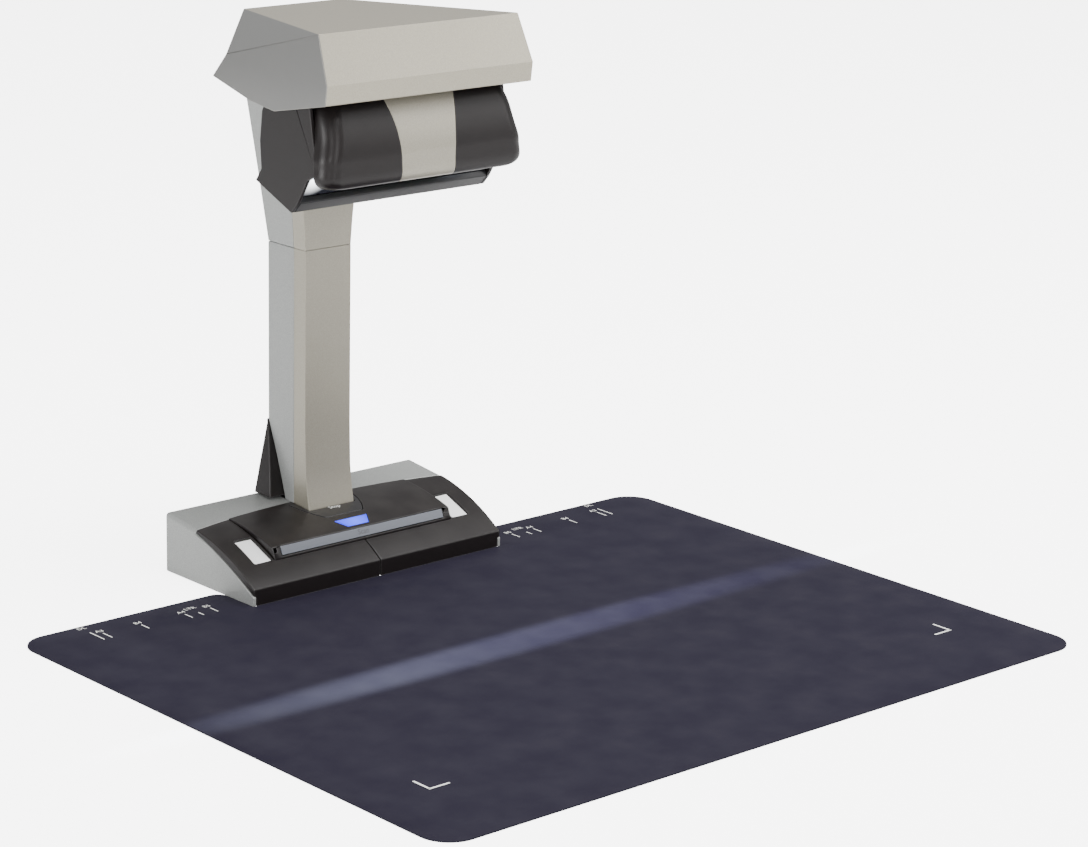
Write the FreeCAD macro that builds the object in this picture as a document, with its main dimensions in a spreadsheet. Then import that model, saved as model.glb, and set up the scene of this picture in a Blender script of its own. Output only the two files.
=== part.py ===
import FreeCAD, Part
import math
import os

import Sketcher

# Overhead document scanner: a weighted base with two keys, a column, and a head whose
# scanning unit tips about a shaft across the head, with the dark mat that documents lie on.
#
# Axes: +X to the right of a person facing the scanner, +Y to the rear, +Z up, table at 0.
# Sizes are in millimetres and y is measured from the dock line, which is the mat's rear
# edge. The dock frame's origin is then moved so that the row's origin lies at the middle
# of the whole footprint.

Vector = FreeCAD.Vector
doc = FreeCAD.newDocument("OverheadScanner")
sheet = doc.addObject("Spreadsheet::Sheet", "Sizes")


class Size:
    """A length that knows both its number and the formula that ties it to the sheet."""

    def __init__(self, value, text):
        self.value = value
        self.text = text

    def __add__(self, other):
        other = size_of(other)
        return Size(self.value + other.value, f"({self.text} + {other.text})")

    def __radd__(self, other):
        return size_of(other) + self

    def __sub__(self, other):
        other = size_of(other)
        return Size(self.value - other.value, f"({self.text} - {other.text})")

    def __rsub__(self, other):
        return size_of(other) - self

    def __mul__(self, factor):
        factor = size_of(factor)
        return Size(self.value * factor.value, f"({self.text} * {factor.text})")

    def __rmul__(self, factor):
        return size_of(factor) * self

    def __truediv__(self, divisor):
        divisor = size_of(divisor)
        return Size(self.value / divisor.value, f"({self.text} / {divisor.text})")

    def __neg__(self):
        return 0 - self


def size_of(value):
    """A plain number as a Size, so that both can stand in one sum."""
    if isinstance(value, Size):
        return value
    return Size(float(value), f"({float(value):.6f})")


def number(value):
    return size_of(value).value


cell_row = 0


def size(alias, value, note):
    """One driving dimension: a plain number in the sheet under its own name."""
    global cell_row
    cell_row += 1
    sheet.set(f"A{cell_row}", note)
    sheet.set(f"B{cell_row}", str(value))
    sheet.setAlias(f"B{cell_row}", alias)
    return Size(float(value), f"Sizes.{alias}")


# ---------------------------------------------------------------- driving dimensions

skin = size("skin", 2.2, "wall of the moulded covers")
fit_gap = size("fit_gap", 0.2, "gap between covers that meet")
running_gap = size("running_gap", 0.05, "radial clearance of a shaft in its bush")

mat_width = size("mat_width", 525.0, "mat, side to side")
mat_depth = size("mat_depth", 415.0, "mat, rear edge to front edge")
mat_thick = size("mat_thick", 1.2, "mat thickness")
mat_corner = size("mat_corner", 20.0, "mat outer corner radius")
notch_corner = size("notch_corner", 8.0, "corner radius at the mouth of the mat's notch")
cover_inset = size("cover_inset", 0.5, "how far the black covers stay inside the base's width")
dock_gap = size("dock_gap", 0.3, "gap between the mat's notch and the base")

base_width = size("base_width", 210.0, "base, side to side")
base_rear = size("base_rear", 62.0, "base reach behind the dock line")
base_front = size("base_front", 36.0, "base reach in front of the dock line")
back_height = size("back_height", 41.0, "top of the base at its rear wall")
crest_reach = size("crest_reach", 27.0, "y where the base's top starts to curve down")
crest_height = size("crest_height", 37.2, "base height there")
nose_height = size("nose_height", 12.0, "base height at its front edge")
nose_bow = size("nose_bow", 4.0, "how far the black covers stand proud of their chord")
wall_bow = size("wall_bow", 2.0, "how far the grey side walls stand proud of theirs")
wall_crest = size("wall_crest", 34.6, "height of the grey side walls at the crest line")
wall_nose = size("wall_nose", 7.0, "height of the grey side walls at their front")
deck_bow = size("deck_bow", 10.0, "bow of the seam between the grey and the black covers")
foot_height = size("foot_height", 1.5, "rubber foot below the bottom plate")
cover_floor = size("cover_floor", 0.6, "lower edge of the base covers above the table")
foot_radius = size("foot_radius", 6.0, "rubber foot radius")
plate_thick = size("plate_thick", 2.5, "bottom plate thickness")

deck_half = size("deck_half", 75.0, "half width of the raised centre panel")
deck_lip = size("deck_lip", 19.0, "reach of the centre panel's front foot")
deck_brow = size("deck_brow", 16.0, "reach of the centre panel's brow")
brow_height = size("brow_height", 30.0, "height of the brow")
brow_drop = size("brow_drop", 7.0, "height of the brow above the centre panel's front foot")
deck_heel = size("deck_heel", 38.6, "height of the centre panel at its rear edge")
deck_bulge = size("deck_bulge", 1.8, "how far the centre panel stands proud of its chord")
bar_half = size("bar_half", 68.5, "half width of the scan bar")
bar_rise = size("bar_rise", 6.4, "scan bar, along its sloping face")
bar_thick = size("bar_thick", 2.4, "scan bar thickness")
bar_travel = size("bar_travel", 1.2, "scan bar travel")
stop_half = size("stop_half", 15.5, "half width of the stop key's front edge")
stop_heel = size("stop_heel", 25.5, "half width of the stop key beside the column")
stop_front = size("stop_front", 3.0, "y of the stop key's front edge")
stop_back = size("stop_back", 31.0, "y of the stop key's rear edge")
stop_thick = size("stop_thick", 2.0, "stop key thickness")
stop_travel = size("stop_travel", 1.0, "stop key travel")
lens_back = size("lens_back", -3.5, "y of the status lens's rear edge")
lens_depth = size("lens_depth", 8.8, "status lens, front to back")
lens_half = size("lens_half", 13.5, "half width of the status lens at its rear edge")
sheet_width = size("sheet_width", 13.5, "white reference sheet, side to side")
sheet_thick = size("sheet_thick", 0.4, "white reference sheet thickness")

column_half = size("column_half", 19.0, "column half width")
column_front = size("column_front", 21.5, "y of the column's front face")
column_rear = size("column_rear", 62.0, "y of the column's rear face")
column_seam = size("column_seam", 34.0, "y of the upright seam in the column's sides")
column_foot = size("column_foot", 5.0, "how far the column's front flares at its foot")
column_joint = size("column_joint", 213.5, "height of the level seam in the column")
column_wall = size("column_wall", 2.0, "column cover wall")
column_top = size("column_top", 332.0, "top of the upper column covers")
flare_rear = size("flare_rear", 12.5, "how far the upper column flares to the rear")
flare_side = size("flare_side", 13.0, "how far the upper column flares to each side")
post_width = size("post_width", 24.0, "steel post, side to side")
post_depth = size("post_depth", 20.0, "steel post, front to back")
post_wall = size("post_wall", 1.6, "steel post wall")
fin_height = size("fin_height", 91.0, "apex of the black foot behind the column")
fin_half = size("fin_half", 31.0, "half width of the black foot at the base")
fin_rear = size("fin_rear", 62.0, "rear reach of the black foot")

head_width = size("head_width", 168.0, "head cover, side to side")
head_wall = size("head_wall", 1.8, "head cover wall")
head_top = size("head_top", 374.0, "top of the head")
head_rear = size("head_rear", 78.0, "rear reach of the head")
head_front = size("head_front", 83.8, "reach of the crease across the head's front")
head_crease = size("head_crease", 343.6, "height of that crease")
head_tuck = size("head_tuck", 1.5, "how far the head's front tucks in under the crease")
head_low = size("head_low", 331.0, "lower edge of the head's front")
head_brow = size("head_brow", 71.5, "reach of the flat top's front edge")
top_taper = size("top_taper", 3.0, "how far that edge's corners stay inside the head's width")
top_tail = size("top_tail", 40.0, "half width of the flat top at its rear edge")
top_setback = size("top_setback", 18.0, "how far the flat top's rear edge stays ahead of the tail")
top_fall = size("top_fall", 3.8, "how far the flat top falls to its rear edge")
tail_half = size("tail_half", 32.4, "half width of the head's tail at its lower edge")
tail_low = size("tail_low", 334.0, "lower edge of the tail, level with the wing tips")
wing_reach = size("wing_reach", 21.0, "y of the bend in each wing's upper edge")
wing_bend = size("wing_bend", 350.0, "height of that bend")
wing_taper = size("wing_taper", 1.2, "how far that bend stays inside the head's width")
tip_reach = size("tip_reach", 34.0, "y of the wing tips")
keel_rear = size("keel_rear", 5.0, "reach of the low edge under each wing, rear end")
keel_low = size("keel_low", 323.8, "height of that edge at its rear end")
keel_front = size("keel_front", 30.0, "reach of that edge, front end")
keel_dip = size("keel_dip", 320.6, "height of that edge at its front end")
pivot_reach = size("pivot_reach", 42.0, "scanning unit shaft, reach in front of the dock line")
pivot_height = size("pivot_height", 334.0, "scanning unit shaft height")
shaft_radius = size("shaft_radius", 3.0, "stub shaft radius")
bush_wall = size("bush_wall", 1.5, "bush wall")
arm_thick = size("arm_thick", 1.2, "steel arm that holds each bush")
unit_room = size("unit_room", 2.9, "room for the steel arm between head wall and scanning unit")
unit_width = head_width - (head_wall + unit_room) * 2
shell_flare = size("shell_flare", 2.7, "how far the bulging front stands out past each end cap")
shell_half = unit_width / 2 + shell_flare
shell_foot = size("shell_foot", 276.7, "lower edge of the bulging front")
shell_top = size("shell_top", 335.0, "upper edge of the bulging front, under the head")
shell_corner = size("shell_corner", 11.0, "corner radius of its ends")
unit_wall = size("unit_wall", 2.0, "scanning unit wall")
cap_thick = size("cap_thick", 2.4, "end cap thickness")
band_half = size("band_half", 29.5, "silver band half width at the top")
band_waist = size("band_waist", 22.5, "silver band half width at the bottom")
gear_module = size("gear_module", 0.8, "tooth size of the drive")
gear_teeth = size("gear_teeth", 45, "teeth on the scanning unit's gear")
pinion_teeth = size("pinion_teeth", 12, "teeth on the motor's pinion")
gear_face = size("gear_face", 4.0, "gear width along the shaft")
motor_radius = size("motor_radius", 10.0, "motor can radius")
motor_length = size("motor_length", 15.0, "motor can length")

foot_spread = size("foot_spread", 0.0, "how far the column spreads to each side at its foot")
column_base = size("column_base", 34.0, "height where the column covers end")
post_front = size("post_front", 33.0, "y of the steel post's front face")
post_top = size("post_top", 330.0, "top of the steel post")
screw_radius = size("screw_radius", 1.5, "bottom screw radius")
boss_height = size("boss_height", 8.0, "screw boss above the bottom plate")
weight_half = size("weight_half", 62.0, "counterweight half width")
weight_front = size("weight_front", -6.0, "y of the counterweight's front")
weight_thick = size("weight_thick", 9.0, "counterweight thickness")
frame_thick = size("frame_thick", 2.0, "head frame sheet")
cap_plate = size("cap_plate", 2.5, "plate on top of the post")
head_screw = size("head_screw", 1.5, "head screw radius")
board_thick = size("board_thick", 1.6, "circuit board thickness")
board_height = size("board_height", 14.0, "main board above the table")
key_board_height = size("key_board_height", 23.0, "key board above the table")
barrel_radius = size("barrel_radius", 9.0, "lens barrel radius")
barrel_length = size("barrel_length", 22.0, "lens barrel length")
glass_thick = size("glass_thick", 1.5, "window and lens thickness")
jack_x = size("jack_x", 45.0, "power inlet, from the middle")
jack_half = size("jack_half", 5.0, "power inlet half width")
jack_low = size("jack_low", 14.0, "power inlet, lower edge")
jack_high = size("jack_high", 25.0, "power inlet, upper edge")
usb_x = size("usb_x", 68.0, "data socket, from the middle")
usb_half = size("usb_half", 6.0, "data socket half width")
usb_low = size("usb_low", 14.0, "data socket, lower edge")
usb_high = size("usb_high", 25.0, "data socket, upper edge")

doc.recompute()

base_half = base_width / 2
half_nose_split = fit_gap
column_hole = column_half + foot_spread + fit_gap
origin_shift = (mat_depth - head_rear) / 2
pivot_y = -pivot_reach

# ---------------------------------------------------------------- tools of the trade

made = {}


def keep(obj, label):
    """Names a finished sub-part and moves it from the dock frame to the row's frame."""
    obj.Label = label
    obj.setExpression("Placement.Base.y", origin_shift.text)
    made[label] = obj
    return obj


def new_body(label):
    return keep(doc.addObject("PartDesign::Body", label.title().replace("_", "")), label)


def plane_of(body, role):
    return next(item for item in body.Origin.OriginFeatures if item.Role == role)


def new_sketch(body, role, offset=0):
    """A sketch on one of the body's own planes, moved along that plane's normal."""
    sketch = body.newObject("Sketcher::SketchObject", body.Name + "Sketch")
    sketch.AttachmentSupport = [(plane_of(body, role), "")]
    sketch.MapMode = "FlatFace"
    if number(offset) != 0:
        sketch.setExpression("AttachmentOffset.Base.z", size_of(offset).text)
        sketch.AttachmentOffset.Base.z = number(offset)
    return sketch


def tie(sketch, kind, geometry, vertex, value):
    """Holds one coordinate of a sketch point to its formula."""
    value = size_of(value)
    index = sketch.addConstraint(
        Sketcher.Constraint(kind, -1, 1, geometry, vertex, value.value)
    )
    if "Sizes." in value.text:
        sketch.setExpression(f"Constraints[{index}]", value.text)


def outline(sketch, points, bows=None):
    """A closed outline through points; bows gives the middle point of a curved side."""
    bows = bows or {}
    where = [Vector(number(x), number(y), 0) for x, y in points]
    sides = []
    for i, start in enumerate(where):
        finish = where[(i + 1) % len(where)]
        if i in bows:
            middle = Vector(number(bows[i][0]), number(bows[i][1]), 0)
            side = sketch.addGeometry(Part.Arc(start, middle, finish), False)
            turn = middle.sub(start).cross(finish.sub(middle)).z
            sides.append((side, 1, 2) if turn > 0 else (side, 2, 1))
        else:
            side = sketch.addGeometry(Part.LineSegment(start, finish), False)
            sides.append((side, 1, 2))
    for i, (side, _, last) in enumerate(sides):
        following, first, _ = sides[(i + 1) % len(sides)]
        sketch.addConstraint(Sketcher.Constraint("Coincident", side, last, following, first))
    for (side, first, _), (x, y) in zip(sides, points):
        tie(sketch, "DistanceX", side, first, x)
        tie(sketch, "DistanceY", side, first, y)
    for i, (x, y) in bows.items():
        guide = sketch.addGeometry(Part.Point(Vector(number(x), number(y), 0)), True)
        tie(sketch, "DistanceX", guide, 1, x)
        tie(sketch, "DistanceY", guide, 1, y)
        sketch.addConstraint(Sketcher.Constraint("PointOnObject", guide, 1, sides[i][0]))
    return sketch


def circle(sketch, x, y, radius):
    """A circle whose centre and radius follow their formulas."""
    radius = size_of(radius)
    ring = sketch.addGeometry(
        Part.Circle(Vector(number(x), number(y), 0), Vector(0, 0, 1), radius.value), False
    )
    tie(sketch, "DistanceX", ring, 3, x)
    tie(sketch, "DistanceY", ring, 3, y)
    index = sketch.addConstraint(Sketcher.Constraint("Radius", ring, radius.value))
    if "Sizes." in radius.text:
        sketch.setExpression(f"Constraints[{index}]", radius.text)
    return ring


def rectangle(sketch, x0, x1, y0, y1):
    return outline(sketch, [(x0, y0), (x1, y0), (x1, y1), (x0, y1)])


def pad(body, sketch, length, midplane=False, reverse=False):
    feature = body.newObject("PartDesign::Pad", body.Name + "Pad")
    feature.Profile = sketch
    feature.Length = number(length)
    feature.setExpression("Length", size_of(length).text)
    feature.Midplane = midplane
    feature.Reversed = reverse
    doc.recompute()
    return feature


def pocket(body, sketch, length, midplane=False, reverse=False):
    """A cut, checked to have taken material away."""
    before = body.Shape.Volume
    feature = body.newObject("PartDesign::Pocket", body.Name + "Pocket")
    feature.Profile = sketch
    feature.Length = number(length)
    feature.setExpression("Length", size_of(length).text)
    feature.Midplane = midplane
    feature.Reversed = reverse
    doc.recompute()
    if not body.Shape.Volume < before - 1e-6:
        raise RuntimeError(f"{feature.Label} cut nothing")
    return feature


def round_edges(body, radius, test):
    """Fillets the edges of the body's last feature whose middle point passes the test."""
    tip = body.Tip
    names = [
        f"Edge{i + 1}"
        for i, edge in enumerate(tip.Shape.Edges)
        if test(edge.valueAt((edge.FirstParameter + edge.LastParameter) / 2), edge)
    ]
    if not names:
        raise RuntimeError(f"no edge to round on {body.Label}")
    fillet = body.newObject("PartDesign::Fillet", body.Name + "Fillet")
    fillet.Base = (tip, names)
    fillet.Radius = number(radius)
    fillet.setExpression("Radius", size_of(radius).text)
    doc.recompute()
    return fillet


def upright(edge):
    """True for a straight edge that runs along Z."""
    ends = edge.Vertexes
    if len(ends) < 2:
        return False
    run = ends[1].Point.sub(ends[0].Point)
    return run.Length > 0.1 and abs(run.z) > 0.999 * run.Length


def block(label, x0, x1, y0, y1, z0, z1):
    """A plain rectangular piece as a padded rectangle."""
    body = new_body(label)
    pad(body, rectangle(new_sketch(body, "XY_Plane", z0), x0, x1, y0, y1), size_of(z1) - z0)
    return body


def solid_feature(label, shape):
    """A piece made directly from a shape, where neither a body nor a primitive fits."""
    feature = doc.addObject("Part::Feature", label.title().replace("_", ""))
    feature.Shape = shape
    feature.Placement = FreeCAD.Placement()
    return keep(feature, label)


# ---------------------------------------------------------------- mat

def make_mat():
    """The dark mat, with a notch in its rear edge that the base docks into."""
    body = new_body("background_mat")
    half = mat_width / 2
    notch = base_half + dock_gap
    depth = base_front + dock_gap
    sketch = new_sketch(body, "XY_Plane")
    outline(sketch, [
        (-half, -mat_depth), (half, -mat_depth), (half, 0), (notch, 0),
        (notch, -depth), (-notch, -depth), (-notch, 0), (-half, 0),
    ])
    pad(body, sketch, mat_thick)
    round_edges(body, mat_corner, lambda p, e: upright(e) and abs(p.x) > half.value - 1)
    mouth = notch.value + 1
    round_edges(body, notch_corner, lambda p, e: upright(e) and abs(p.x) < mouth and p.y > -1)


# ---------------------------------------------------------------- base

def chord_bow(start, finish, bow):
    """Middle point of an arc that stands proud of the chord from start to finish."""
    run_y = finish[0].value - start[0].value
    run_z = finish[1].value - start[1].value
    run = math.hypot(run_y, run_z)
    middle_y = (start[0] + finish[0]) / 2 + bow * (-run_z / run)
    middle_z = (start[1] + finish[1]) / 2 + bow * (run_y / run)
    return middle_y, middle_z


def base_profile(inset, floor, bow=nose_bow):
    """Side view of the base, moved inwards by inset all round and open at the floor."""
    inset = size_of(inset)
    front = -base_front + inset
    rear = base_rear - inset
    nose = (front, nose_height - inset * 0.8)
    crest = (crest_reach - inset * 0.1, crest_height - inset)
    heel = (rear, back_height - inset)
    points = [(front, floor), nose, crest, heel, (rear, floor)]
    return points, {1: chord_bow(nose, crest, bow)}


def seam_arc(half, setback=0):
    """Ends and middle of the seam between the grey and the black covers."""
    setback = size_of(setback)
    bow = deck_bow * (half.value / base_half.value) ** 2
    end = crest_reach + deck_bow - bow - setback
    return end, crest_reach + deck_bow - setback


def make_base_cover():
    """The grey cover: rear wall, both side walls and the strip behind the seam."""
    body = new_body("base_cover")
    points, bows = base_profile(0, cover_floor)
    pad(body, outline(new_sketch(body, "YZ_Plane"), points, bows), base_width, midplane=True)
    round_edges(body, 2.0, lambda p, e: p.y > base_rear.value - 0.5 and not upright(e)
                and p.z > back_height.value - 0.5)
    round_edges(body, 3.0, lambda p, e: upright(e) and p.y > base_rear.value - 0.5)
    points, bows = base_profile(skin, cover_floor - 1)
    inner = outline(new_sketch(body, "YZ_Plane"), points, bows)
    pocket(body, inner, base_width - skin * 2, midplane=True)
    side = base_half - skin
    end, middle = seam_arc(side)
    deck = new_sketch(body, "XY_Plane", cover_floor - 1)
    outline(deck, [(-side, -base_front - 5), (side, -base_front - 5), (side, end), (-side, end)],
            {2: (0, middle)})
    pocket(body, deck, back_height + 5, reverse=True)
    step = new_sketch(body, "YZ_Plane")
    nose, crest = (-base_front, wall_nose), (crest_reach, wall_crest)
    behind = crest_reach + fit_gap * 2
    outline(step, [(-base_front - 5, wall_nose), nose, crest, (behind, wall_crest),
                   (behind, back_height + 20), (-base_front - 5, back_height + 20)],
            {1: chord_bow(nose, crest, wall_bow)})
    pocket(body, step, base_width + 2, midplane=True)
    hole = new_sketch(body, "XY_Plane", crest_height - 8)
    rectangle(hole, -column_hole, column_hole, crest_reach, base_rear - skin * 2)
    pocket(body, hole, 20, reverse=True)
    for middle_x, half, low, high in (
        (jack_x, jack_half + fit_gap, jack_low - fit_gap, jack_high + fit_gap),
        (usb_x, usb_half + fit_gap, usb_low - fit_gap, usb_high + fit_gap),
    ):
        port = new_sketch(body, "XZ_Plane", -base_rear - 1)
        rectangle(port, middle_x - half, middle_x + half, low, high)
        pocket(body, port, skin + 2, reverse=True)


def plan_trim(body, points, bows, top):
    """Cuts away everything outside a plan outline."""
    sketch = new_sketch(body, "XY_Plane", -5)
    far = base_width
    rectangle(sketch, -far, far, -far, far)
    outline(sketch, points, bows)
    pocket(body, sketch, top, reverse=True)


def slope_point(share, rise):
    """A place on the base's curved top: share runs from nose to crest, rise is off the chord."""
    run_y = crest_reach.value + base_front.value
    run_z = crest_height.value - nose_height.value
    run = math.hypot(run_y, run_z)
    rise = size_of(rise)
    y = -base_front + (crest_reach + base_front) * share - rise * (run_z / run)
    z = nose_height + (crest_height - nose_height) * share + rise * (run_y / run)
    return y, z


sheet_floor = nose_bow - 2
sheet_low, sheet_high = 0.30, 0.665
sheet_inner = deck_half + 2


def make_side_cover(label, side):
    """A black front cover: a strip beside the centre panel, and half of the nose."""
    body = new_body(label)
    points, bows = base_profile(0, cover_floor)
    pad(body, outline(new_sketch(body, "YZ_Plane"), points, bows), base_width, midplane=True)
    round_edges(body, 1.5, lambda p, e: abs(p.y + base_front.value) < 0.1
                and abs(p.z - nose_height.value) < 0.1)
    points, bows = base_profile(skin, cover_floor - 1)
    inner = outline(new_sketch(body, "YZ_Plane"), points, bows)
    pocket(body, inner, base_width + 2, midplane=True)
    outside = base_half - cover_inset
    nose, crest = (-base_front, wall_nose + fit_gap), (crest_reach, wall_crest + fit_gap)
    outer_nose, outer_crest = (-base_front, nose_height - 1), (crest_reach, crest_height - 1)
    skirt = new_sketch(body, "YZ_Plane", outside - skin if side > 0 else -outside)
    outline(skirt, [outer_nose, nose, crest, outer_crest],
            {1: chord_bow(nose, crest, wall_bow), 3: chord_bow(outer_nose, outer_crest, nose_bow)})
    pad(body, skirt, skin)
    wall_room = skin + fit_gap
    wall_side = new_sketch(body, "YZ_Plane", base_half - wall_room if side > 0 else -base_half)
    ahead, behind = -base_front - 5, crest_reach + 5
    outline(wall_side, [(ahead, -5), (ahead, wall_nose + fit_gap), nose, crest,
                        (behind, wall_crest + fit_gap), (behind, -5)], {2: chord_bow(nose, crest, wall_bow)})
    pocket(body, wall_side, wall_room, reverse=True)
    inside = deck_half + fit_gap
    end_outer, _ = seam_arc(outside, fit_gap)
    end_inner, _ = seam_arc(inside, fit_gap)
    middle_x = (outside + inside) / 2
    middle_y, _ = seam_arc(middle_x, fit_gap)
    front = -base_front - 5
    step = -deck_lip - fit_gap
    points = [
        (half_nose_split * side, front), (outside * side, front), (outside * side, end_outer),
        (inside * side, end_inner), (inside * side, step), (half_nose_split * side, step),
    ]
    plan_trim(body, points, {2: (middle_x * side, middle_y)}, back_height + 20)
    low = slope_point(sheet_low, sheet_floor)
    high = slope_point(sheet_high, sheet_floor)
    above_high = slope_point(sheet_high, sheet_floor + 8)
    above_low = slope_point(sheet_low, sheet_floor + 8)
    seat = new_sketch(body, "YZ_Plane", sheet_start(side) - fit_gap)
    outline(seat, [low, high, above_high, above_low])
    pocket(body, seat, sheet_width + fit_gap * 2, reverse=True)


def sheet_start(side):
    """Lower x of a reference sheet's seat."""
    return sheet_inner if side > 0 else -sheet_inner - sheet_width


def make_reference_sheet(label, side):
    """A white strip that the sensor reads to set its white level."""
    body = new_body(label)
    trim = 0.004
    floor = slope_point(sheet_low + trim, sheet_floor)
    back = slope_point(sheet_high - trim, sheet_floor)
    back_top = slope_point(sheet_high - trim, sheet_floor + sheet_thick)
    floor_top = slope_point(sheet_low + trim, sheet_floor + sheet_thick)
    sketch = new_sketch(body, "YZ_Plane", sheet_start(side))
    outline(sketch, [floor, back, back_top, floor_top])
    pad(body, sketch, sheet_width)


def deck_top(y):
    """Height of the centre panel's top for a place y: a shallow arch from brow to rear edge."""
    share = (size_of(y) + deck_brow) / (crest_reach + deck_bow + deck_brow)
    arch = deck_bulge * share * (size_of(1) - share) * 4
    return brow_height + (deck_heel - brow_height) * share + arch


def deck_slab(body, y0, y1, over, under, width):
    """A slab that follows the centre panel's arch, between two depths under its top."""
    middle = (size_of(y0) + y1) / 2
    sketch = new_sketch(body, "YZ_Plane")
    outline(sketch, [
        (y0, deck_top(y0) - under), (y0, deck_top(y0) - over),
        (y1, deck_top(y1) - over), (y1, deck_top(y1) - under),
    ], {1: (middle, deck_top(middle) - over), 3: (middle, deck_top(middle) - under)})
    pad(body, sketch, width, midplane=True)


bar_run = math.hypot(deck_lip.value - deck_brow.value, brow_drop.value)
bar_lean = ((deck_lip.value - deck_brow.value) / bar_run, brow_drop.value / bar_run)


def bar_point(along, depth):
    """A place on the sloping brow: along runs down the slope, depth runs into the panel."""
    y = -deck_brow - size_of(along) * bar_lean[0] + size_of(depth) * bar_lean[1]
    z = brow_height - size_of(along) * bar_lean[1] - size_of(depth) * bar_lean[0]
    return y, z


def stop_outline(grow):
    """Plan of the stop key: straight in front, bowed beside the column."""
    grow = size_of(grow)
    points = [
        (-stop_half - grow, stop_front - grow), (stop_half + grow, stop_front - grow),
        (stop_heel + grow, stop_back + grow), (-stop_heel - grow, stop_back + grow),
    ]
    mid_x = (stop_half + stop_heel) / 2 + 2.2 + grow
    mid_y = (stop_front + stop_back) / 2 - 1.0
    return points, {1: (mid_x, mid_y), 3: (-mid_x, mid_y)}


def lens_outline(grow):
    """Plan of the status lens: a wide shallow trapezoid."""
    grow = size_of(grow)
    front = lens_back - lens_depth - grow
    return [
        (-lens_half + 5 - grow, front), (lens_half - 5 + grow, front),
        (lens_half + grow, lens_back + grow), (-lens_half - grow, lens_back + grow),
    ]


def make_centre_panel():
    """The raised black panel round the column, open for its keys, lens and column."""
    body = new_body("centre_panel")
    rear = crest_reach + deck_bow
    foot = brow_height - brow_drop
    middle_y = (rear - deck_brow) / 2
    sketch = new_sketch(body, "YZ_Plane")
    outline(sketch, [
        (-deck_lip, foot - 3), (-deck_lip, foot), (-deck_brow, brow_height),
        (rear, deck_top(rear)), (rear, deck_top(rear) - skin - 1), (crest_reach, crest_height - 6),
    ], {2: (middle_y, deck_top(middle_y))})
    pad(body, sketch, deck_half * 2, midplane=True)
    inner = new_sketch(body, "YZ_Plane")
    outline(inner, [
        (-deck_lip + skin, foot - 10), (-deck_lip + skin, foot),
        (-deck_brow + skin, brow_height - skin), (rear + 5, deck_top(rear) - skin),
        (rear + 5, foot - 10),
    ], {2: (middle_y, deck_top(middle_y) - skin)})
    pocket(body, inner, deck_half * 2 - skin * 2, midplane=True)
    half = deck_half
    end, middle = seam_arc(half, fit_gap)
    plan_trim(body, [(-half, -deck_lip), (half, -deck_lip), (half, end), (-half, end)],
              {2: (0, middle)}, back_height + 20)
    points, bows = stop_outline(fit_gap)
    key_hole = new_sketch(body, "XY_Plane", 10)
    outline(key_hole, points, bows)
    pocket(body, key_hole, back_height, reverse=True)
    lens_hole = new_sketch(body, "XY_Plane", 10)
    outline(lens_hole, lens_outline(fit_gap))
    pocket(body, lens_hole, back_height, reverse=True)
    column_gap = new_sketch(body, "XY_Plane", 10)
    rectangle(column_gap, -column_hole, column_hole, column_front - column_foot - fit_gap, base_rear)
    pocket(body, column_gap, back_height, reverse=True)
    bar_hole = new_sketch(body, "YZ_Plane")
    outline(bar_hole, [
        bar_point(0.4 - fit_gap, -2), bar_point(0.4 - fit_gap, 6),
        bar_point(bar_rise + fit_gap, 6), bar_point(bar_rise + fit_gap, -2),
    ])
    pocket(body, bar_hole, bar_half * 2 + fit_gap * 2, midplane=True)


def make_power_lens():
    """The status lens, flush with the centre panel."""
    body = new_body("power_lens")
    deck_slab(body, lens_back - lens_depth - 2, lens_back + 2, 0, skin + 0.5, lens_half * 4)
    plan_trim(body, lens_outline(0), None, back_height + 20)


def make_stop_button():
    """The stop key, a plate that wraps the front of the column's foot."""
    body = new_body("stop_button")
    deck_slab(body, stop_front - 4, stop_back + 4, 0, stop_thick, stop_heel * 4)
    points, bows = stop_outline(0)
    plan_trim(body, points, bows, back_height + 20)
    hole = new_sketch(body, "XY_Plane", 10)
    clear = fit_gap + 0.3
    side = column_half + foot_spread + clear
    rectangle(hole, -side, side, column_front - column_foot - clear, stop_back + 5)
    pocket(body, hole, back_height, reverse=True)


def make_scan_button():
    """The long scan bar, set in the sloping brow of the centre panel."""
    body = new_body("scan_button")
    sketch = new_sketch(body, "YZ_Plane")
    outline(sketch, [
        bar_point(0.4, -0.3), bar_point(0.4, bar_thick),
        bar_point(bar_rise, bar_thick), bar_point(bar_rise, -0.3),
    ])
    pad(body, sketch, bar_half * 2, midplane=True)


def make_base_plate():
    """The bottom plate with a stiffening rim and four screw bosses."""
    body = new_body("base_plate")
    half = base_half - skin - fit_gap
    front = -base_front + skin + fit_gap
    rear = base_rear - skin - fit_gap
    pad(body, rectangle(new_sketch(body, "XY_Plane", foot_height), -half, half, front, rear),
        plate_thick + 3)
    tray = new_sketch(body, "XY_Plane", foot_height + plate_thick)
    rim = 1.6
    rectangle(tray, -half + rim, half - rim, front + rim, rear - rim)
    pocket(body, tray, 10, reverse=True)
    bosses = new_sketch(body, "XY_Plane", foot_height + plate_thick)
    for x, y in screw_places():
        circle(bosses, x, y, screw_radius + 2.2)
    pad(body, bosses, boss_height)
    bores = new_sketch(body, "XY_Plane", foot_height)
    for x, y in screw_places():
        circle(bores, x, y, screw_radius + fit_gap)
    pocket(body, bores, plate_thick + boss_height + 1, reverse=True)


def screw_places():
    """Plan places of the bottom plate's four screws."""
    x = base_half - skin - 10
    return [(-x, base_rear - 12), (x, base_rear - 12), (-x, -base_front + 12), (x, -base_front + 12)]


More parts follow.
